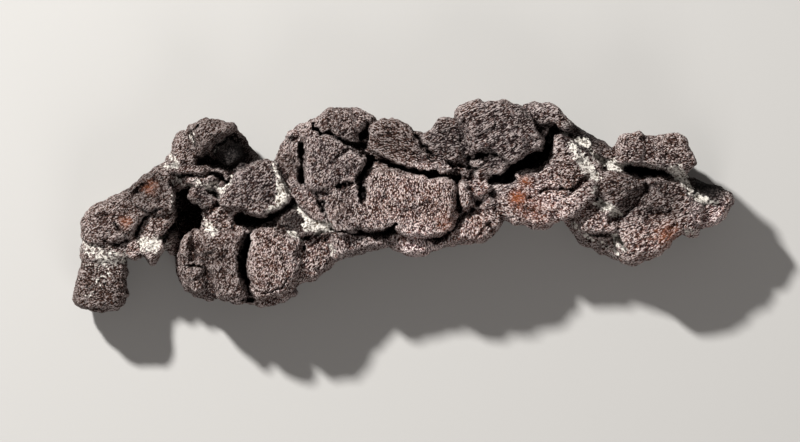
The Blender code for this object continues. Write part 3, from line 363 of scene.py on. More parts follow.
skin = {
    "shift": (0.24, -0.09),   # millimetres from the folds' own centre to the middle of the stone's box
    "voxel": 0.45,            # grid on which the folds are fused, in millimetres
    "triangles": 197000,      # faces kept after the relief is on
    "outlineSteps": 8,        # places worked out between two corners of a fold's outline
    "ringPoints": 84,         # points round a fold...
    "ringLevels": 30,         # ...and rings from its foot to its crown
    "footSquareness": 2.2,    # how square a fold is below its middle
    "crownGain": 1.75,        # how much flatter a fold's crown is than its written squareness
    "raggedEdge": ((3.2, 0.8), (1.3, 0.28)),   # spacing and size of the notches in a fold's outline
    # A fold whose crown is this square or more has its rim curled up: by how much, at which share of the
    # way from its middle to its edge, and how far to both sides of that.
    "rim": {"crown": 3.2, "lift": 0.35, "place": 0.9, "width": 0.12},
    # A crack's bends (spacing and size), the share of its written width that is cut, where its wall starts
    # and how wide it is in half widths, how hollow the wall is (1 is straight), the level at which cracks
    # fade out and over what height, and the most that a crack may reach to either side.
    "crack": {"wander": ((1.9, 0.9), (0.8, 0.4)), "width": 0.9, "edge": 1.15, "slope": 0.75, "curve": 1.2,
              "floor": 5, "fade": 7, "search": 4},
    "valley": {"width": 1.4, "search": 6},     # where a valley ends, in written half widths
    # A ridge's length and height as multiples of its width, its strength, and where an area of ridges ends.
    "ridge": {"length": 4, "rise": 3, "gain": 1.2, "fade": 1.25},
    "lumps": {"width": 9, "height": 1.2},
    "dents": {"width": 4.6, "height": 0.45},
    "knobs": {"width": 2.4, "height": 0.32, "gain": 1.5, "level": 0.3, "offset": (9, 4, 2)},
    "crumbs": {"width": 1.5, "height": 0.42, "level": 0.42, "wobbleWidth": 1.9, "wobble": 0.35},
    # Creases round scales of crust, which come and go from patch to patch.
    "creases": {"width": 5.5, "depth": 0.55, "edge": 0.13, "wobbleWidth": 3.5, "wobble": 0.45,
                "patchWidth": 11, "patchGain": 4, "patchLevel": 0.6, "offset": (3, 8, 1)},
    # Longer creases along the steep sides, which fade out towards the top.
    "sideCreases": {"length": 20, "spacing": 6, "depth": 1.1, "edge": 0.22, "top": 24, "fade": 8,
                    "steepness": 1.6},
    # The low sides and the underside keep fewer faces than the crust that is seen.
    "thin": {"below": 10, "over": 6, "least": 0.04, "factor": 1.5},
}


def wander(xy, spacing, size):
    return np.array([noise.noise_vector(Vector((x, y, 0)) / spacing)[:2] for x, y in xy]) * size


def nearness(xy, place, reach, fade):
    # 1 round a place, and 0 from that many times its reach outwards
    return np.clip(fade - np.linalg.norm(xy - np.array(place), axis=1) / reach, 0, 1)


def smoothOutline(points):
    # a smooth closed curve through the corners, with its points evenly spaced and its edge made ragged
    p = np.array(points, float)
    before, after, beyond = np.roll(p, 1, 0), np.roll(p, -1, 0), np.roll(p, -2, 0)
    steps = np.arange(skin["outlineSteps"]) / skin["outlineSteps"]
    curve = []
    for i in range(len(p)):
        for t in steps:
            curve.append(0.5 * (2 * p[i] + (after[i] - before[i]) * t
                                + (2 * before[i] - 5 * p[i] + 4 * after[i] - beyond[i]) * t ** 2
                                + (3 * p[i] - before[i] - 3 * after[i] + beyond[i]) * t ** 3))
    curve = np.array(curve + curve[:1])
    along = np.concatenate([[0], np.cumsum(np.linalg.norm(np.diff(curve, axis=0), axis=1))])
    even = np.linspace(0, along[-1], skin["ringPoints"], endpoint=False)
    ring = np.column_stack([np.interp(even, along, curve[:, k]) for k in range(2)])
    return ring + sum(wander(ring, *waves) for waves in skin["raggedEdge"])


def addFold(pile, lowest, highest, crown, outline):
    ring = smoothOutline(outline)
    centre = ring.mean(axis=0)
    rim = skin["rim"]
    pad = bmesh.new()
    bmesh.ops.create_uvsphere(pad, u_segments=skin["ringPoints"], v_segments=skin["ringLevels"], radius=1)
    for vert in pad.verts:
        upper = vert.co.z > 0
        turn = math.atan2(vert.co.y, vert.co.x) / (2 * math.pi) * skin["ringPoints"]
        edge = ring[round(turn) % skin["ringPoints"]]
        power = 2 / (crown * skin["crownGain"] if upper else skin["footSquareness"])
        reach = math.hypot(vert.co.x, vert.co.y) ** power
        lift = math.copysign(abs(vert.co.z) ** power, vert.co.z)
        x, y = centre + (edge - centre) * reach
        curl = 0
        if upper and crown >= rim["crown"]:
            curl = rim["lift"] * max(0, 1 - abs(reach - rim["place"]) / rim["width"])
        vert.co = Vector((x, y, (lowest + highest) / 2 + lift * (highest - lowest) / 2 + curl)) * mm
    bmesh.ops.recalc_face_normals(pad, faces=pad.faces)
    mesh = bpy.data.meshes.new("fold")
    pad.to_mesh(mesh)
    pad.free()
    pile.from_mesh(mesh)
    bpy.data.meshes.remove(mesh)


def throughModifier(bm, kind, **settings):
    mesh = bpy.data.meshes.new("stage")
    bm.to_mesh(mesh)
    bm.free()
    holder = bpy.data.objects.new("stage", mesh)
    bpy.context.scene.collection.objects.link(holder)
    if "vertex_group" in settings:
        holder.vertex_groups.new(name=settings["vertex_group"])
    modifier = holder.modifiers.new("stage", kind)
    for name, value in settings.items():
        setattr(modifier, name, value)
    graph = bpy.context.evaluated_depsgraph_get()
    result = bmesh.new()
    result.from_mesh(holder.evaluated_get(graph).to_mesh())
    bpy.data.objects.remove(holder)
    bpy.data.meshes.remove(mesh)
    return result


def keepLargestShell(bm):
    left, shells = set(bm.verts), []
    while left:
        shell, edge = set(), [left.pop()]
        while edge:
            vert = edge.pop()
            shell.add(vert)
            for link in vert.link_edges:
                other = link.other_vert(vert)
                if other in left:
                    left.remove(other)
                    edge.append(other)
        shells.append(shell)
    shells.sort(key=len)
    bmesh.ops.delete(bm, geom=[v for shell in shells[:-1] for v in shell], context="VERTS")


def places(bm):
    return np.array([v.co for v in bm.verts]) / mm


def awayFromLine(xy, points):
    # how far each place is from a line of points, in half widths of the line there, seen from above
    away = np.full(len(xy), np.inf)
    for a, b in zip(np.array(points[:-1], float), np.array(points[1:], float)):
        along = b[:2] - a[:2]
        share = np.clip(((xy - a[:2]) @ along) / (along @ along), 0, 1)
        gap = np.linalg.norm(xy - a[:2] - share[:, None] * along, axis=1)
        away = np.minimum(away, gap / (a[2] + share * (b[2] - a[2])))
    return away


def nearLine(xy, points, widest):
    # the places that lie within reach of a line of points, so that only those are measured
    p = np.array(points, float)
    return np.all((xy > p[:, :2].min(axis=0) - widest) & (xy < p[:, :2].max(axis=0) + widest), axis=1)


def crackDepths(xy):
    crack = skin["crack"]
    drop = np.zeros(len(xy))
    for depth, points in cracks.values():
        near = nearLine(xy, points, crack["search"])
        away = awayFromLine(xy[near], points) / crack["width"]
        wall = np.clip((crack["edge"] - away) / crack["slope"], 0, 1) ** crack["curve"]
        drop[near] = np.maximum(drop[near], depth * wall)
    return drop


def valleyDepths(xy):
    drop = np.zeros(len(xy))
    for depth, points in valleys.values():
        near = nearLine(xy, points, skin["valley"]["search"])
        away = np.clip(awayFromLine(xy[near], points) / skin["valley"]["width"], 0, 1)
        drop[near] = np.maximum(drop[near], depth * (0.5 + 0.5 * np.cos(math.pi * away)))
    return drop


def raggedPlaces(xy):
    return xy + sum(wander(xy, *waves) for waves in skin["crack"]["wander"])


def pressCracks(bm):
    at = places(bm)
    xy = raggedPlaces(at[:, :2])
    fade = np.clip((at[:, 2] - skin["crack"]["floor"]) / skin["crack"]["fade"], 0, 1)
    for vert, down in zip(bm.verts, (crackDepths(xy) + valleyDepths(xy)) * fade):
        vert.co.z -= down * mm


def striationHeights(at):
    ridge = skin["ridge"]
    height = np.zeros(len(at))
    for place, reach, turn, spacing, size in striations.values():
        offset = at[:, :2] - place
        share = nearness(at[:, :2], place, reach, ridge["fade"])
        cos, sin = math.cos(math.radians(turn)), math.sin(math.radians(turn))
        for i in np.nonzero(share > 0)[0]:
            along = (offset[i, 0] * cos + offset[i, 1] * sin) / (spacing * ridge["length"])
            across = (offset[i, 1] * cos - offset[i, 0] * sin) / spacing
            wave = noise.noise(Vector((along, across, at[i, 2] / (spacing * ridge["rise"]))))
            height[i] += share[i] * size * wave * ridge["gain"]
    return height


def cellGaps(at, cells):
    # distances to the middles of the nearest cells in a pattern with wobbly edges
    wobble = noise.noise_vector(at / cells["wobbleWidth"]) * cells["wobble"]
    return noise.voronoi(at / cells["width"] + wobble)[0]


def raiseRelief(bm):
    lumps, dents, knobs = skin["lumps"], skin["dents"], skin["knobs"]
    crumbs, creases, sides = skin["crumbs"], skin["creases"], skin["sideCreases"]
    bm.normal_update()
    for vert in bm.verts:
        vert.co += vert.normal * lumps["height"] * mm * noise.noise(vert.co / (lumps["width"] * mm))
    bm.normal_update()
    ridges = striationHeights(places(bm))
    moves = []
    for vert, ridge in zip(bm.verts, ridges):
        at = vert.co / mm
        out = ridge + dents["height"] * noise.noise(at / dents["width"])
        knob = abs(noise.noise(at / knobs["width"] + Vector(knobs["offset"])))
        out += knobs["height"] * (knobs["level"] - knob) * knobs["gain"]
        out += crumbs["height"] * (crumbs["level"] - cellGaps(at, crumbs)[0])
        gaps = cellGaps(at, creases)
        patch = noise.noise(at / creases["patchWidth"] + Vector(creases["offset"]))
        patch = min(max(patch * creases["patchGain"] + creases["patchLevel"], 0), 1)
        out -= creases["depth"] * patch * max(0, 1 - (gaps[1] - gaps[0]) / creases["edge"])
        steep = max(0, 1 - sides["steepness"] * abs(vert.normal.z))
        steep *= min(max((sides["top"] - at.z) / sides["fade"], 0), 1)
        line = Vector((at.x / sides["length"], at.y / sides["length"], at.z / sides["spacing"]))
        out -= sides["depth"] * steep * max(0, 1 - abs(noise.noise(line)) / sides["edge"])
        moves.append(vert.normal * out * mm)
    for vert, move in zip(bm.verts, moves):
        vert.co += move


def settleOnGround(bm):
    for vert in bm.verts:
        vert.co.z = max(vert.co.z, 0)


def thinOut(bm):
    thin = skin["thin"]
    spare = bm.verts.layers.deform.verify()
    for vert in bm.verts:
        low = min(max((thin["below"] * mm - vert.co.z) / (thin["over"] * mm), 0), 1)
        vert[spare][0] = max(low, thin["least"])
    return throughModifier(bm, "DECIMATE", ratio=min(1, skin["triangles"] / len(bm.faces)),
                           vertex_group="spare", vertex_group_factor=thin["factor"])


def makeStone():
    pile = bmesh.new()
    for region in (coreFolds, westArmFolds, towerFolds, westBodyFolds, middleFolds, northPlateFolds,
                   eastEndFolds):
        for fold in region.values():
            addFold(pile, *fold)
    print("folds laid")
    bm = throughModifier(pile, "REMESH", mode="VOXEL", voxel_size=skin["voxel"] * mm)
    keepLargestShell(bm)
    print("folds fused:", len(bm.faces), "faces")
    pressCracks(bm)
    raiseRelief(bm)
    settleOnGround(bm)
    bmesh.ops.translate(bm, verts=bm.verts, vec=(skin["shift"][0] * mm, skin["shift"][1] * mm, 0))
    bmesh.ops.triangulate(bm, faces=bm.faces[:])
    bm = thinOut(bm)
    settleOnGround(bm)
    print("relief raised:", len(bm.faces), "faces")
    mesh = bpy.data.meshes.new("stone")
    bm.to_mesh(mesh)
    bm.free()
    mesh.shade_smooth()
    stone = bpy.data.objects.new("stone", mesh)
    bpy.context.scene.collection.objects.link(stone)
    return stone


# Where pale sediment is packed in, and two pale streaks that are painted highlights on lit rims (the arm's
# rim and the ball's arc): strength, then x, y and half width along each streak, in millimetres.
sedimentAndHighlight = {
    "armJoint": (0.55, [(-107.5, -13.5, 2.6), (-104, -15.8, 3.2), (-99, -16.6, 3.2), (-94, -17, 2.4)]),
    "footSpecks": (0.2, [(-106, -18, 4), (-97, -20, 4), (-106, -29, 3)]),
    "kneeOfArm": (0.9, [(-85.4, -12.6, 3.4), (-82.8, -13, 3.0)]),
    "hollowWall": (0.42, [(-75.5, 9, 2), (-72, 7, 1.6)]),
    "hollowFoot": (0.42, [(-77, -9, 2), (-79, -14, 2)]),
    "towerFoot": (0.9, [(-77.5, 16.5, 1.2), (-76.5, 14.6, 1.8), (-75.3, 13.6, 1.2)]),
    "towerSplit": (1.0, [(-69.4, 26.6, 0.7), (-70.2, 24, 0.7), (-69.8, 20.6, 0.5)]),
    # painted highlight: the lit rim at the foot of the arm's dish
    "armRimHighlight": (0.5, [(-100, -9.2, 0.5), (-96.8, -9.8, 0.6), (-93.6, -9.3, 0.6), (-90.8, -7, 0.5)]),
    # painted highlight: the lit arc over the ball below the tower
    "ballArc": (0.8, [(-62.8, 18.2, 0.5), (-61.4, 21, 0.6), (-58.4, 22.7, 0.5)]),
    "armTop": (0.6, [(-80, 13.5, 1.2), (-78, 13.2, 1.2)]),
    "hollowLip": (0.6, [(-77, 3, 1.4), (-77.2, -1, 1.4)]),
    "wedgeTop": (0.8, [(-69, 8, 1.1), (-65, 6.5, 1.2)]),
    "archFoot": (0.9, [(-64, 8, 1), (-61, 5, 1.2)]),
    "slantEdge": (0.7, [(-61, 3, 0.9), (-57, 9.5, 0.9)]),
    "crumbs": (0.75, [(-66, -5, 1.5), (-63.5, -9, 1.5)]),
    "slantEast": (0.8, [(-43.6, 13.6, 0.9), (-42, 11, 0.9), (-40.2, 6.5, 1)]),
    "slantFoot": (1.6, [(-41.6, 8, 0.8), (-40.2, 5, 1.9), (-40, 2.6, 2.2), (-41.5, 0.4, 1.3),
        (-45, -1.4, 0.8)]),
    "saddleStreak": (1.0, [(-37, 1, 0.6), (-34, -2.4, 0.7), (-31.6, -5, 1.2)]),
    "flankPocket": (1.5, [(-32.4, -6.8, 1.5), (-28.5, -6.9, 2.2), (-24.6, -7, 1.6)]),
    "flankSpeck": (0.8, [(-36.8, -9.3, 1.4), (-35, -10.5, 1.2)]),
    "stripTop": (0.6, [(-24, -12.5, 1.1), (-23.5, -15, 1.1)]),
    "capRim": (0.4, [(50, 22, 1.8), (53, 26, 2.2), (55.5, 29, 1.8)]),
    "rubble": (0.85, [(56, 20, 1.7), (57.5, 17.5, 1.8), (60.3, 13.8, 2.6), (63.3, 10.3, 1.8)]),
    "rimPatch": (0.8, [(58.5, 21.8, 1.8), (61, 20.8, 1.5)]),
    "rimStreak": (0.85, [(62, 18, 1.1), (66, 14.5, 1.3)]),
    "flakeTip": (0.7, [(63.5, 6.5, 1.1), (63, 4.5, 1)]),
    "ballTop": (1.3, [(65, 0.8, 1.4), (68, -0.5, 1.9), (70.5, -2, 1.5)]),
    "slabWest": (1.3, [(67.5, 14.8, 1.1), (70.5, 13.8, 1.8), (74, 13.2, 1.4)]),
    "slabFoot": (0.7, [(75, 14.2, 0.8), (81, 13.6, 0.7), (86, 12.6, 0.8)]),
    "slabEast": (1.3, [(88.3, 12.2, 1.2), (90.8, 11.4, 1.9), (93, 10.4, 1.4)]),
    "coneShoulder": (1.3, [(91.5, 9.6, 1.0), (94, 7, 1.4), (95.5, 5.2, 1.1)]),
    "tailStreak": (0.8, [(97.5, 3.2, 1.4), (101, 2, 1.1), (104, 1.4, 0.8)]),
    "wartTop": (0.7, [(94.5, -8.2, 1.2), (97.5, -8.8, 1.3)]),
    "backEdge": (0.6, [(56.5, -6, 1.0), (63, -12, 1.2)]),
    "ballEast": (0.85, [(70.3, -9.8, 1.1), (71.8, -12.5, 1.5), (73.2, -14.5, 1)]),
    "eastFloor": (0.45, [(66, -13, 1.6), (71, -16.2, 1.8)]),
}

# Where iron has rusted out: strength, radius and place of each stain.
rust = {
    "strap": (0.5, 2.6, (-84.5, 6.3)),
    "elbow": (0.6, 2.2, (-92.5, -5)),
    "bellyEdge": (0.45, 3.2, (14.3, -6.2)),
    "crevice": (1.2, 3.2, (37.8, 2.6)),
    "creviceUpper": (0.8, 2.4, (40.4, 8.6)),
    "lobeFoot": (0.35, 5.5, (43, -1)),
    "cone": (0.6, 4.5, (88, -10)),
}

# Paler and darker areas of the crust: middle, reach, lightness in doublings, brownness. Most are the
# stone's own tone, but some darken places that lie in shade (painted shade) and some lighten places that
# lie in shadow (painted light).
tonesAndShading = {
    "foot": ((-102, -26), 11, -0.85, 1.2),
    "arm": ((-97, -4), 12, -0.45, 0.6),
    "shoulder": ((-85, 6), 9, -1.35, 0),
    "tower": ((-65, 22), 11, -1.1, 0.9),
    "slant": ((-50, 5), 10, -0.65, -0.4),
    "lobeWest": ((-63, -20), 11, -0.85, 0.3),
    "lobeEast": ((-43, -18), 11, 0.35, 0),
    "saddle": ((-37, -5), 5, -2.5, 0),
    "flankWest": ((-28, -15), 9, 0.35, -0.2),
    "rimWest": ((-38, 14), 5, -1, 0.8),
    "highPlate": ((-24, 13), 10, -0.3, -0.2),
    "lowPlate": ((-20, -2), 7, -0.3, 0),
    "cap": ((-22, 28), 7, -0.6, 0.2),
    "broadPlate": ((2, 0), 15, 0.85, 0),
    # painted light: the belly lies in the high plate's shadow and is made paler
    "belly": ((5, -14), 7, 1.4, -0.8),
    "northLobe": ((-4, 22), 9, -0.85, 1.3),
    "tongue": ((8, 14), 4, 0.4, -0.4),
    "ridgePlate": ((31, 26), 16, -0.55, -0.5),
    "ridgeWest": ((12, 22), 8, -0.85, -0.5),
    "roundLobe": ((46, -1), 12, 1.35, -0.3),
    "kneeKnob": ((26, 6), 3.5, 1.05, -0.2),
    "flankEast": ((22, -7), 9, 1.1, -0.4),
    "flankStrip": ((-15, -12), 8, -0.1, -0.4),
    "backRim": ((61, 24), 7, -2.8, -0.5),
    "slab": ((83, 18), 11, -0.25, 0),
    "eastBall": ((65, -5), 5, 0.9, -0.2),
    "westKnob": ((-90, -14), 3, 0.55, 0),
    "wedge": ((-66, 4), 4, -1.0, -0.6),
    "ridgeCap": ((50, 29), 5, -0.5, 0),
    "tonguePlate": ((29, 14), 4, -0.4, 0),
    "knee": ((71, 6), 8, -0.8, 0),
    "cone": ((85, 1), 11, -1.05, 0),
    "coneFoot": ((83, -11), 9, 1.15, 0.3),
    # painted light: the tail lies partly in the slab's shadow and is made paler
    "tail": ((101.5, -3), 9, 1.75, -1.3),
    # painted shadow: the slab's shadow over the tail's top
    "tailTop": ((101, 6.5), 5.5, -5.2, 0.3),
    # painted shade: the ball lies in the shade of the tower's top
    "towerBall": ((-57.8, 17), 5, -2.7, -1.8),
    # painted shade: the tower's east slope faces away from the light
    "towerSlope": ((-52, 18), 5, -1.6, -0.3),
    # painted shade: the deep hollow on the west lies in shadow
    "westHollow": ((-71.5, -2), 5, -2.5, 0.0),
}

finish = {
    # Millimetres between crumbs, then the octaves and roughness of the pattern: crumbs of sand size, as
    # fine as they still show, flecks that make them uneven, slightly paler patches, and clumps in the soil.
    "crust": (0.34, 3, 0.6),
    "flecks": (0.22, 3, 0.7),
    "patches": (4.5, 3, 0.6),
    "clumps": (0.95, 4, 0.7),
    "crumbSpacing": 0.31,         # millimetres between the rounder crumbs in the crust
    "grainSpacing": 0.8,          # ...between crumbs of another tint
    "tintSpacing": 30,            # ...between browner and bluer areas
    "relief": 1.5,                # ...from the gaps to the crumbs' tops
    "crumbRelief": 0.25,          # the rounder crumbs' share of it
    "crumbMiddle": 0.45,          # their mean distance, which is added back to keep the level
    "fleckRelief": 0.35,          # the flecks' share of it
    "crustTone": 2.6,             # how strongly the crust's height makes it paler or darker
    "crumbTone": 1.1,             # how much one rounder crumb differs from the next
    "fleckTone": 1.0,
    "patchTone": 0.12,
    "bulgeLightAndShade": 0.6,             # how much paler what stands out is and darker what lies low: a painted highlight on edges and painted shade in creases
    "patchSpan": (0.3, 0.7),      # the part of the patch pattern that counts
    "midSpan": (-0.5, 0.05),      # tones between which dark gaps turn to plain stone...
    "paleSpan": (0.26, 0.78),     # ...and plain stone to pale crumbs
    "paleShare": 0.45,            # how much of an area's own lightness the pale crumbs take on
    "tintSpan": (0.35, 0.65),     # the part of the tint pattern that counts...
    "tintTone": 0.5,              # ...and how strongly
    "tintChange": 1.1,            # how much one crumb's tint differs from the next
    "brownSpan": (0.1, 1.1),      # tints between which the stone turns brown...
    "purpleSpan": (-0.1, -1.1),   # ...or purple
    "darkStone": "180A06",
    "midStone": "68463D",
    "paleFleck": "DACCC8",
    "brownTint": "6B4635",
    "purpleTint": "57474A",
    "rust": "B2643A",
    "rustSpan": (0.4, 0.6),       # crust heights between which rust takes hold...
    "rustLeast": 0.15,            # ...and its strength below them
    # painted shade: the colour laid where stone round about hides the sky
    "hollowShade": "120C0C",
    "hollowShadeSpan": (0.42, 0.9),      # shares of hidden sky between which painted shade darkens the stone
    "sedimentAndHighlight": "FFF9F0",
    "sedimentShade": "4F3D2C",
    "soilShadeSpan": (0.42, 0.52),   # clump heights between which soil turns from shade to pale
    "soilRagged": 1.5,            # how far the clumps fray the edges of the soil
    "soilLow": -0.5,              # soil fills what lies low and leaves what stands out
    "soilSpan": (0.44, 0.58),     # amounts between which soil covers the stone
    "soilLeast": (0.02, 0.15),    # written strengths below which there is none
    "roughness": 0.86,
    "shine": 0.15,
    "ior": 1.52,
    # where the paint goes: all lengths in millimetres
    "edgeWander": (1.7, 1.1),     # spacing and size of the notches in the edges of streaks and stains
    "streakSearch": 6,            # no streak of soil is wider than this on either side
    "streakFade": 1.4,            # where streaks of soil, stains of rust and areas of tone end...
    "rustFade": 1.3,              # ...in written half widths or reaches
    "toneFade": 1.4,
    "upperFrom": 6,               # soil, rust and lightness start at this level...
    "upperOver": 6,               # ...and are full this much higher
    "slope": 0.35,                # soil and rust lie where the surface faces up this much or more
    "flatGrain": 0.9,             # how far crumbs are squeezed where there are no ridges...
    "ridgeGrain": 1.2,            # ...and how much more with each millimetre of the ridges' height
    "skyReach": 13,               # stone farther away than this doesn't hide the sky
    "skyRays": 14,
    "skySpread": 0.88,            # how near to the surface the lowest ray runs (1 is along it)
    "skyLift": 0.5,               # how far above the surface the rays start
    "skyLoss": 0.8,               # how much less stone hides at that reach than close by
    "crackShadeDepth": 6,          # a crack this deep would count as wholly hidden and take the full painted shade...
    "crackShadeMost": 0.5,         # ...but counts for this much at most
    "bulgeRounds": 12,            # rounds of smoothing in the form from which bulges are measured
}


def paintAttribute(mesh, name, values):
    attribute = mesh.attributes.new(name, "FLOAT", "POINT")
    attribute.data.foreach_set("value", values.astype(np.float32))


def vertexVectors(mesh, name):
    values = np.empty(len(mesh.vertices) * 3)
    mesh.vertices.foreach_get(name, values)
    return values.reshape(-1, 3)


def hollowness(mesh):
    # how much of the sky over each place is shut off by stone within reach
    tree = BVHTree.FromPolygons([v.co for v in mesh.vertices], [p.vertices for p in mesh.polygons])
    reach, rays = finish["skyReach"] * mm, finish["skyRays"]
    golden = math.pi * (3 - math.sqrt(5))
    spread = []
    for k in range(rays):
        up = 1 - (k + 0.5) / rays * finish["skySpread"]
        out = math.sqrt(1 - up * up)
        spread.append((math.cos(golden * k) * out, math.sin(golden * k) * out, up))
    shut = np.zeros(len(mesh.vertices))
    for i, vert in enumerate(mesh.vertices):
        normal = vert.normal
        side = normal.orthogonal().normalized()
        across = normal.cross(side)
        start = vert.co + normal * finish["skyLift"] * mm
        total = 0
        for x, y, z in spread:
            gap = tree.ray_cast(start, side * x + across * y + normal * z, reach)[3]
            if gap is not None:
                total += 1 - finish["skyLoss"] * gap / reach
        shut[i] = total / rays
    return shut


def bulge(mesh):
    # how far each place stands out from the average of its surroundings, in millimetres
    at = vertexVectors(mesh, "co") / mm
    ends = np.empty(len(mesh.edges) * 2, dtype=np.int64)
    mesh.edges.foreach_get("vertices", ends)
    a, b = ends[0::2], ends[1::2]
    links = np.bincount(ends, minlength=len(at))
    soft = at.copy()
    for _ in range(finish["bulgeRounds"]):
        total = np.column_stack([np.bincount(a, soft[b, k], len(at)) + np.bincount(b, soft[a, k], len(at))
                                 for k in range(3)])
        soft = total / links[:, None]
    return ((at - soft) * vertexVectors(mesh, "normal")).sum(axis=1)


def grainFlow(xy):
    # which way and how far the crust's grains are drawn out, taken from the nearest striated area
    turns, drawn, nearest = np.zeros(len(xy)), np.ones(len(xy)), np.full(len(xy), np.inf)
    for place, reach, turn, _, height in striations.values():
        away = np.linalg.norm(xy - place, axis=1) / reach
        turns[away < nearest] = math.radians(turn)
        drawn[away < nearest] = finish["flatGrain"] - finish["ridgeGrain"] * height
        nearest = np.minimum(nearest, away)
    return turns, drawn


def paintStone(stone):
    mesh = stone.data
    at = vertexVectors(mesh, "co") / mm - np.array([*skin["shift"], 0])
    xy = at[:, :2] + wander(at[:, :2], *finish["edgeWander"])
    upper = np.clip((at[:, 2] - finish["upperFrom"]) / finish["upperOver"], 0, 1)
    lies = np.clip(vertexVectors(mesh, "normal")[:, 2] / finish["slope"], 0, 1) ** 2
    soilAndHighlight, stain, light, brown = (np.zeros(len(at)) for _ in range(4))
    for strength, points in sedimentAndHighlight.values():
        near = nearLine(xy, points, finish["streakSearch"])
        share = np.clip(finish["streakFade"] - awayFromLine(xy[near], points), 0, 1)
        soilAndHighlight[near] = np.maximum(soilAndHighlight[near], strength * share)
    for strength, reach, place in rust.values():
        stain = np.maximum(stain, strength * nearness(xy, place, reach, finish["rustFade"]))
    # the lightness holds the stone's own tone and the painted light and shade of the table
    for place, reach, lighter, browner in tonesAndShading.values():
        share = nearness(xy, place, reach, finish["toneFade"])
        light += share * lighter
        brown += share * browner
    # painted shade: cracks count as hiding the sky by their depth, so they are darkened like hollows
    cut = crackDepths(raggedPlaces(at[:, :2]))
    cut = np.clip(cut / finish["crackShadeDepth"], 0, finish["crackShadeMost"]) * upper
    turns, drawn = grainFlow(xy)
    paintAttribute(mesh, "sedimentAndHighlight", soilAndHighlight * upper * lies)
    paintAttribute(mesh, "rust", stain * upper * lies)
    paintAttribute(mesh, "lightness", np.where(light > 0, light * upper, light))
    paintAttribute(mesh, "brownness", brown)
    paintAttribute(mesh, "hollow", np.maximum(hollowness(mesh), cut))
    paintAttribute(mesh, "turn", turns)
    paintAttribute(mesh, "drawn", drawn)
    paintAttribute(mesh, "bulge", np.clip(bulge(mesh), -1, 1))
    print("stone painted")


def linearColour(code):
    parts = [int(code[k:k + 2], 16) / 255 for k in (0, 2, 4)]
    return tuple(p / 12.92 if p <= 0.04045 else ((p + 0.055) / 1.055) ** 2.4 for p in parts) + (1,)


def addNode(tree, kind, settings=None, links=None):
    node = tree.nodes.new("ShaderNode" + kind)
    for name, value in (settings or {}).items():
        setattr(node, name, value)
    for name, value in (links or {}).items():
        if isinstance(value, bpy.types.NodeSocket):
            tree.links.new(value, node.inputs[name])
        else:
            node.inputs[name].default_value = value
    return node.outputs


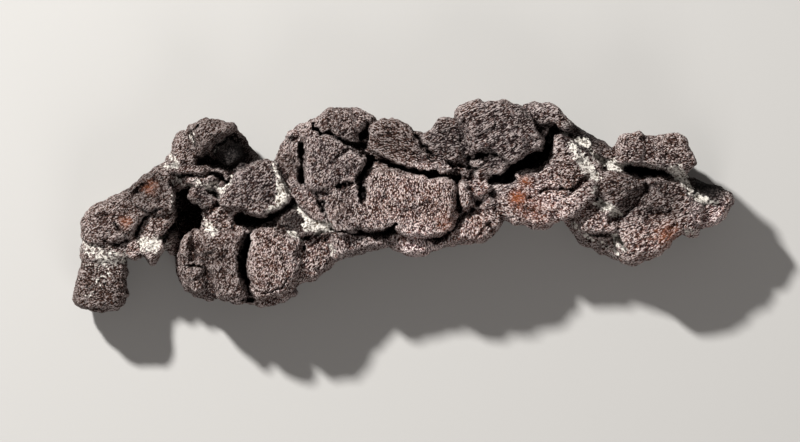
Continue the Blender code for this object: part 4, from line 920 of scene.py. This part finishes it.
def granularIronstone():
    # Phosphate turned to iron-rich stone under the ground: a crust of sand-sized grains, dry and matt. Each
    # grain catches the light on its upper side and the gaps between them stay dark, so it looks speckled
    # from a step away.
    material = bpy.data.materials.new("granularIronstone")
    material.use_nodes = True
    tree = material.node_tree
    shader = tree.nodes["Principled BSDF"]
    times, plus, mixing = {"operation": "MULTIPLY"}, {"operation": "ADD"}, {"data_type": "RGBA"}
    colours = {name: linearColour(finish[name]) for name in (
        "darkStone", "midStone", "paleFleck", "brownTint", "purpleTint", "rust", "hollowShade", "sedimentAndHighlight",
        "sedimentShade")}
    painted = {name: addNode(tree, "Attribute", {"attribute_name": name})["Fac"] for name in (
        "sedimentAndHighlight", "rust", "lightness", "brownness", "hollow", "turn", "drawn", "bulge")}
    where = addNode(tree, "TexCoord")["Object"]
    # a MapRange turns the span at inputs 1 and 2 into the one at 3 and 4; a Mix has its colours at 6 and 7

    # the crumbs are drawn out along the way the crust was squeezed
    turn = addNode(tree, "Math", times, {0: painted["turn"], 1: -1})[0]
    turned = addNode(tree, "VectorRotate", {"rotation_type": "Z_AXIS"}, {"Vector": where, "Angle": turn})[0]
    stretch = addNode(tree, "CombineXYZ", None, {0: painted["drawn"], 1: 1, 2: 1})[0]
    drawn = addNode(tree, "VectorMath", times, {0: turned, 1: stretch})[0]
    patterns = {}
    for name, place in (("crust", drawn), ("flecks", where), ("patches", where), ("clumps", where)):
        spacing, octaves, roughness = finish[name]
        patterns[name] = addNode(tree, "TexNoise", None, {"Vector": place, "Scale": 1 / (spacing * mm),
                                                          "Detail": octaves, "Roughness": roughness})["Fac"]
    scale = 1 / (finish["tintSpacing"] * mm)
    broad = addNode(tree, "TexNoise", None, {"Vector": where, "Scale": scale})["Fac"]
    scale = 1 / (finish["crumbSpacing"] * mm)
    crumbs = addNode(tree, "TexVoronoi", None, {"Vector": drawn, "Scale": scale})
    crumbShade = addNode(tree, "SeparateColor", None, {"Color": crumbs["Color"]})[0]
    scale = 1 / (finish["grainSpacing"] * mm)
    grains = addNode(tree, "TexVoronoi", None, {"Vector": where, "Scale": scale})
    grainTint = addNode(tree, "SeparateColor", None, {"Color": grains["Color"]})[1]
    crust = addNode(tree, "Math", {"operation": "MULTIPLY_ADD"}, {
        0: crumbs["Distance"], 1: -finish["crumbRelief"], 2: patterns["crust"]})[0]
    crust = addNode(tree, "Math", plus, {0: crust, 1: finish["crumbRelief"] * finish["crumbMiddle"]})[0]

    # raised crumbs are paler and the gaps between them darker
    tone = addNode(tree, "MapRange", None, {0: crust, 3: -finish["crustTone"], 4: finish["crustTone"]})[0]
    for value, (low, high), strength in (
            (crumbShade, (0, 1), finish["crumbTone"]),
            (patterns["flecks"], (0, 1), finish["fleckTone"]),
            (patterns["patches"], finish["patchSpan"], finish["patchTone"]),
            # the bulge paints a highlight on what stands out and shade in what lies low
            (painted["bulge"], (-1, 1), finish["bulgeLightAndShade"])):
        share = addNode(tree, "MapRange", None, {0: value, 1: low, 2: high, 3: -strength, 4: strength})[0]
        tone = addNode(tree, "Math", plus, {0: tone, 1: share})[0]

    # broad areas, and single crumbs, lean to brown or to purple
    tint = painted["brownness"]
    for value, (low, high), strength in ((broad, finish["tintSpan"], finish["tintTone"]),
                                         (grainTint, (0, 1), finish["tintChange"])):
        share = addNode(tree, "MapRange", None, {0: value, 1: low, 2: high, 3: -strength, 4: strength})[0]
        tint = addNode(tree, "Math", plus, {0: tint, 1: share})[0]
    mid = colours["midStone"]
    for name, (low, high) in (("brownTint", finish["brownSpan"]), ("purpleTint", finish["purpleSpan"])):
        share = addNode(tree, "MapRange", None, {0: tint, 1: low, 2: high})[0]
        mid = addNode(tree, "Mix", mixing, {0: share, 6: mid, 7: colours[name]})[2]
    low, high = finish["midSpan"]
    share = addNode(tree, "MapRange", None, {0: tone, 1: low, 2: high})[0]
    stone = addNode(tree, "Mix", mixing, {0: share, 6: colours["darkStone"], 7: mid})[2]
    gain = addNode(tree, "Math", {"operation": "POWER"}, {0: 2, 1: painted["lightness"]})[0]
    stone = addNode(tree, "VectorMath", {"operation": "SCALE"}, {0: stone, "Scale": gain})[0]

    # the pale crumbs hardly get paler on the light areas, but they are as dark as the rest on the dark ones
    less = addNode(tree, "Math", times, {0: painted["lightness"], 1: finish["paleShare"]})[0]
    less = addNode(tree, "Math", {"operation": "MINIMUM"}, {0: painted["lightness"], 1: less})[0]
    gain = addNode(tree, "Math", {"operation": "POWER"}, {0: 2, 1: less})[0]
    pale = colours["paleFleck"][:3]
    pale = addNode(tree, "VectorMath", {"operation": "SCALE"}, {0: pale, "Scale": gain})[0]
    low, high = finish["paleSpan"]
    share = addNode(tree, "MapRange", None, {0: tone, 1: low, 2: high})[0]
    stone = addNode(tree, "Mix", mixing, {0: share, 6: stone, 7: pale})[2]

    # rust has soaked in between the crumbs
    low, high = finish["rustSpan"]
    share = addNode(tree, "MapRange", None, {0: crust, 1: low, 2: high, 3: finish["rustLeast"], 4: 1})[0]
    share = addNode(tree, "Math", times, {0: painted["rust"], 1: share})[0]
    stone = addNode(tree, "Mix", mixing, {0: share, 6: stone, 7: colours["rust"]})[2]

    # painted shade: the stone turns near black where stone round about hides the sky
    low, high = finish["hollowShadeSpan"]
    share = addNode(tree, "MapRange", None, {0: painted["hollow"], 1: low, 2: high})[0]
    stone = addNode(tree, "Mix", mixing, {0: share, 6: stone, 7: colours["hollowShade"]})[2]

    # soil is packed into the low places and frays into specks at its edges; the same pale colour paints the
    # highlight streaks on lit rims
    low, high = finish["soilShadeSpan"]
    share = addNode(tree, "MapRange", None, {0: patterns["clumps"], 1: low, 2: high})[0]
    soilAndHighlight = addNode(tree, "Mix", mixing, {0: share, 6: colours["sedimentShade"], 7: colours["sedimentAndHighlight"]})[2]
    ragged = finish["soilRagged"]
    packed = addNode(tree, "MapRange", None, {0: patterns["clumps"], 3: -ragged, 4: ragged})[0]
    packed = addNode(tree, "Math", plus, {0: packed, 1: painted["sedimentAndHighlight"]})[0]
    filled = addNode(tree, "Math", times, {0: painted["bulge"], 1: finish["soilLow"]})[0]
    packed = addNode(tree, "Math", plus, {0: packed, 1: filled})[0]
    low, high = finish["soilSpan"]
    share = addNode(tree, "MapRange", None, {0: packed, 1: low, 2: high})[0]
    low, high = finish["soilLeast"]
    some = addNode(tree, "MapRange", None, {0: painted["sedimentAndHighlight"], 1: low, 2: high})[0]
    share = addNode(tree, "Math", times, {0: share, 1: some})[0]
    stone = addNode(tree, "Mix", mixing, {0: share, 6: stone, 7: soilAndHighlight})[2]

    relief = addNode(tree, "Math", {"operation": "MULTIPLY_ADD"}, {
        0: patterns["flecks"], 1: finish["fleckRelief"], 2: crust})[0]
    bump = addNode(tree, "Bump", None, {"Height": relief, "Distance": finish["relief"] * mm})[0]
    tree.links.new(stone, shader.inputs["Base Color"])
    tree.links.new(bump, shader.inputs["Normal"])
    shader.inputs["Roughness"].default_value = finish["roughness"]
    shader.inputs["IOR"].default_value = finish["ior"]
    shader.inputs["Specular IOR Level"].default_value = finish["shine"]
    return material


studio = {
    "floor": "ABAAA8",
    "floorRoughness": 0.9,
    "floorHalf": 1.5,        # metres from its middle to its edge
    "lens": 250,             # millimetres...
    "sensor": 36,            # ...with a sensor this wide
    "width": 800 / 3,        # millimetres across the picture at the stone's middle height
    "middle": (-1.09, -4.92),
    "height": 22,            # millimetres up to that height
    "near": 0.01,            # metres between which the camera sees
    "far": 20,
    # where each light comes from, then its distance and size in metres, its power and its colour
    "key": ((-0.72, 0.78, 0.78), 1.6, 0.12, 61, (1, 0.985, 0.96)),
    "fill": ((0.25, -0.95, 0.7), 1.6, 0.9, 8, (1, 0.96, 0.94)),
    "skyColour": (1, 0.95, 0.92, 1),
    "skyStrength": 0.18,
}


def plainFloor():
    # matt board, which takes a soft shadow and gives no reflection
    material = bpy.data.materials.new("paleFloor")
    material.use_nodes = True
    shader = material.node_tree.nodes["Principled BSDF"]
    shader.inputs["Base Color"].default_value = linearColour(studio["floor"])
    shader.inputs["Roughness"].default_value = studio["floorRoughness"]
    bm = bmesh.new()
    bmesh.ops.create_grid(bm, x_segments=1, y_segments=1, size=studio["floorHalf"])
    mesh = bpy.data.meshes.new("floor")
    bm.to_mesh(mesh)
    bm.free()
    floor = bpy.data.objects.new("floor", mesh)
    floor.data.materials.append(material)
    bpy.context.scene.collection.objects.link(floor)


def addLight(name):
    fromWhere, distance, size, power, colour = studio[name]
    light = bpy.data.lights.new(name, "AREA")
    light.shape = "DISK"
    light.size = size
    light.energy = power
    light.color = colour
    holder = bpy.data.objects.new(name, light)
    bpy.context.scene.collection.objects.link(holder)
    direction = Vector(fromWhere).normalized()
    holder.location = direction * distance
    holder.rotation_euler = direction.to_track_quat("Z", "Y").to_euler()


def setStudio():
    camera = bpy.data.cameras.new("camera")
    holder = bpy.data.objects.new("camera", camera)
    bpy.context.scene.collection.objects.link(holder)
    camera.lens = studio["lens"]
    camera.sensor_width = studio["sensor"]
    camera.clip_start = studio["near"]
    camera.clip_end = studio["far"]
    away = studio["lens"] / studio["sensor"] * studio["width"] + studio["height"]
    holder.location = (studio["middle"][0] * mm, studio["middle"][1] * mm, away * mm)
    bpy.context.scene.camera = holder
    addLight("key")
    addLight("fill")
    world = bpy.data.worlds.new("studio")
    world.use_nodes = True
    background = world.node_tree.nodes["Background"]
    background.inputs["Color"].default_value = studio["skyColour"]
    background.inputs["Strength"].default_value = studio["skyStrength"]
    bpy.context.scene.world = world
    bpy.context.scene.view_settings.view_transform = "Standard"
    print("studio set")


setStudio()
plainFloor()
stone = makeStone()
paintStone(stone)
stone.data.materials.append(granularIronstone())
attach(stone, "root")
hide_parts("coprolite")
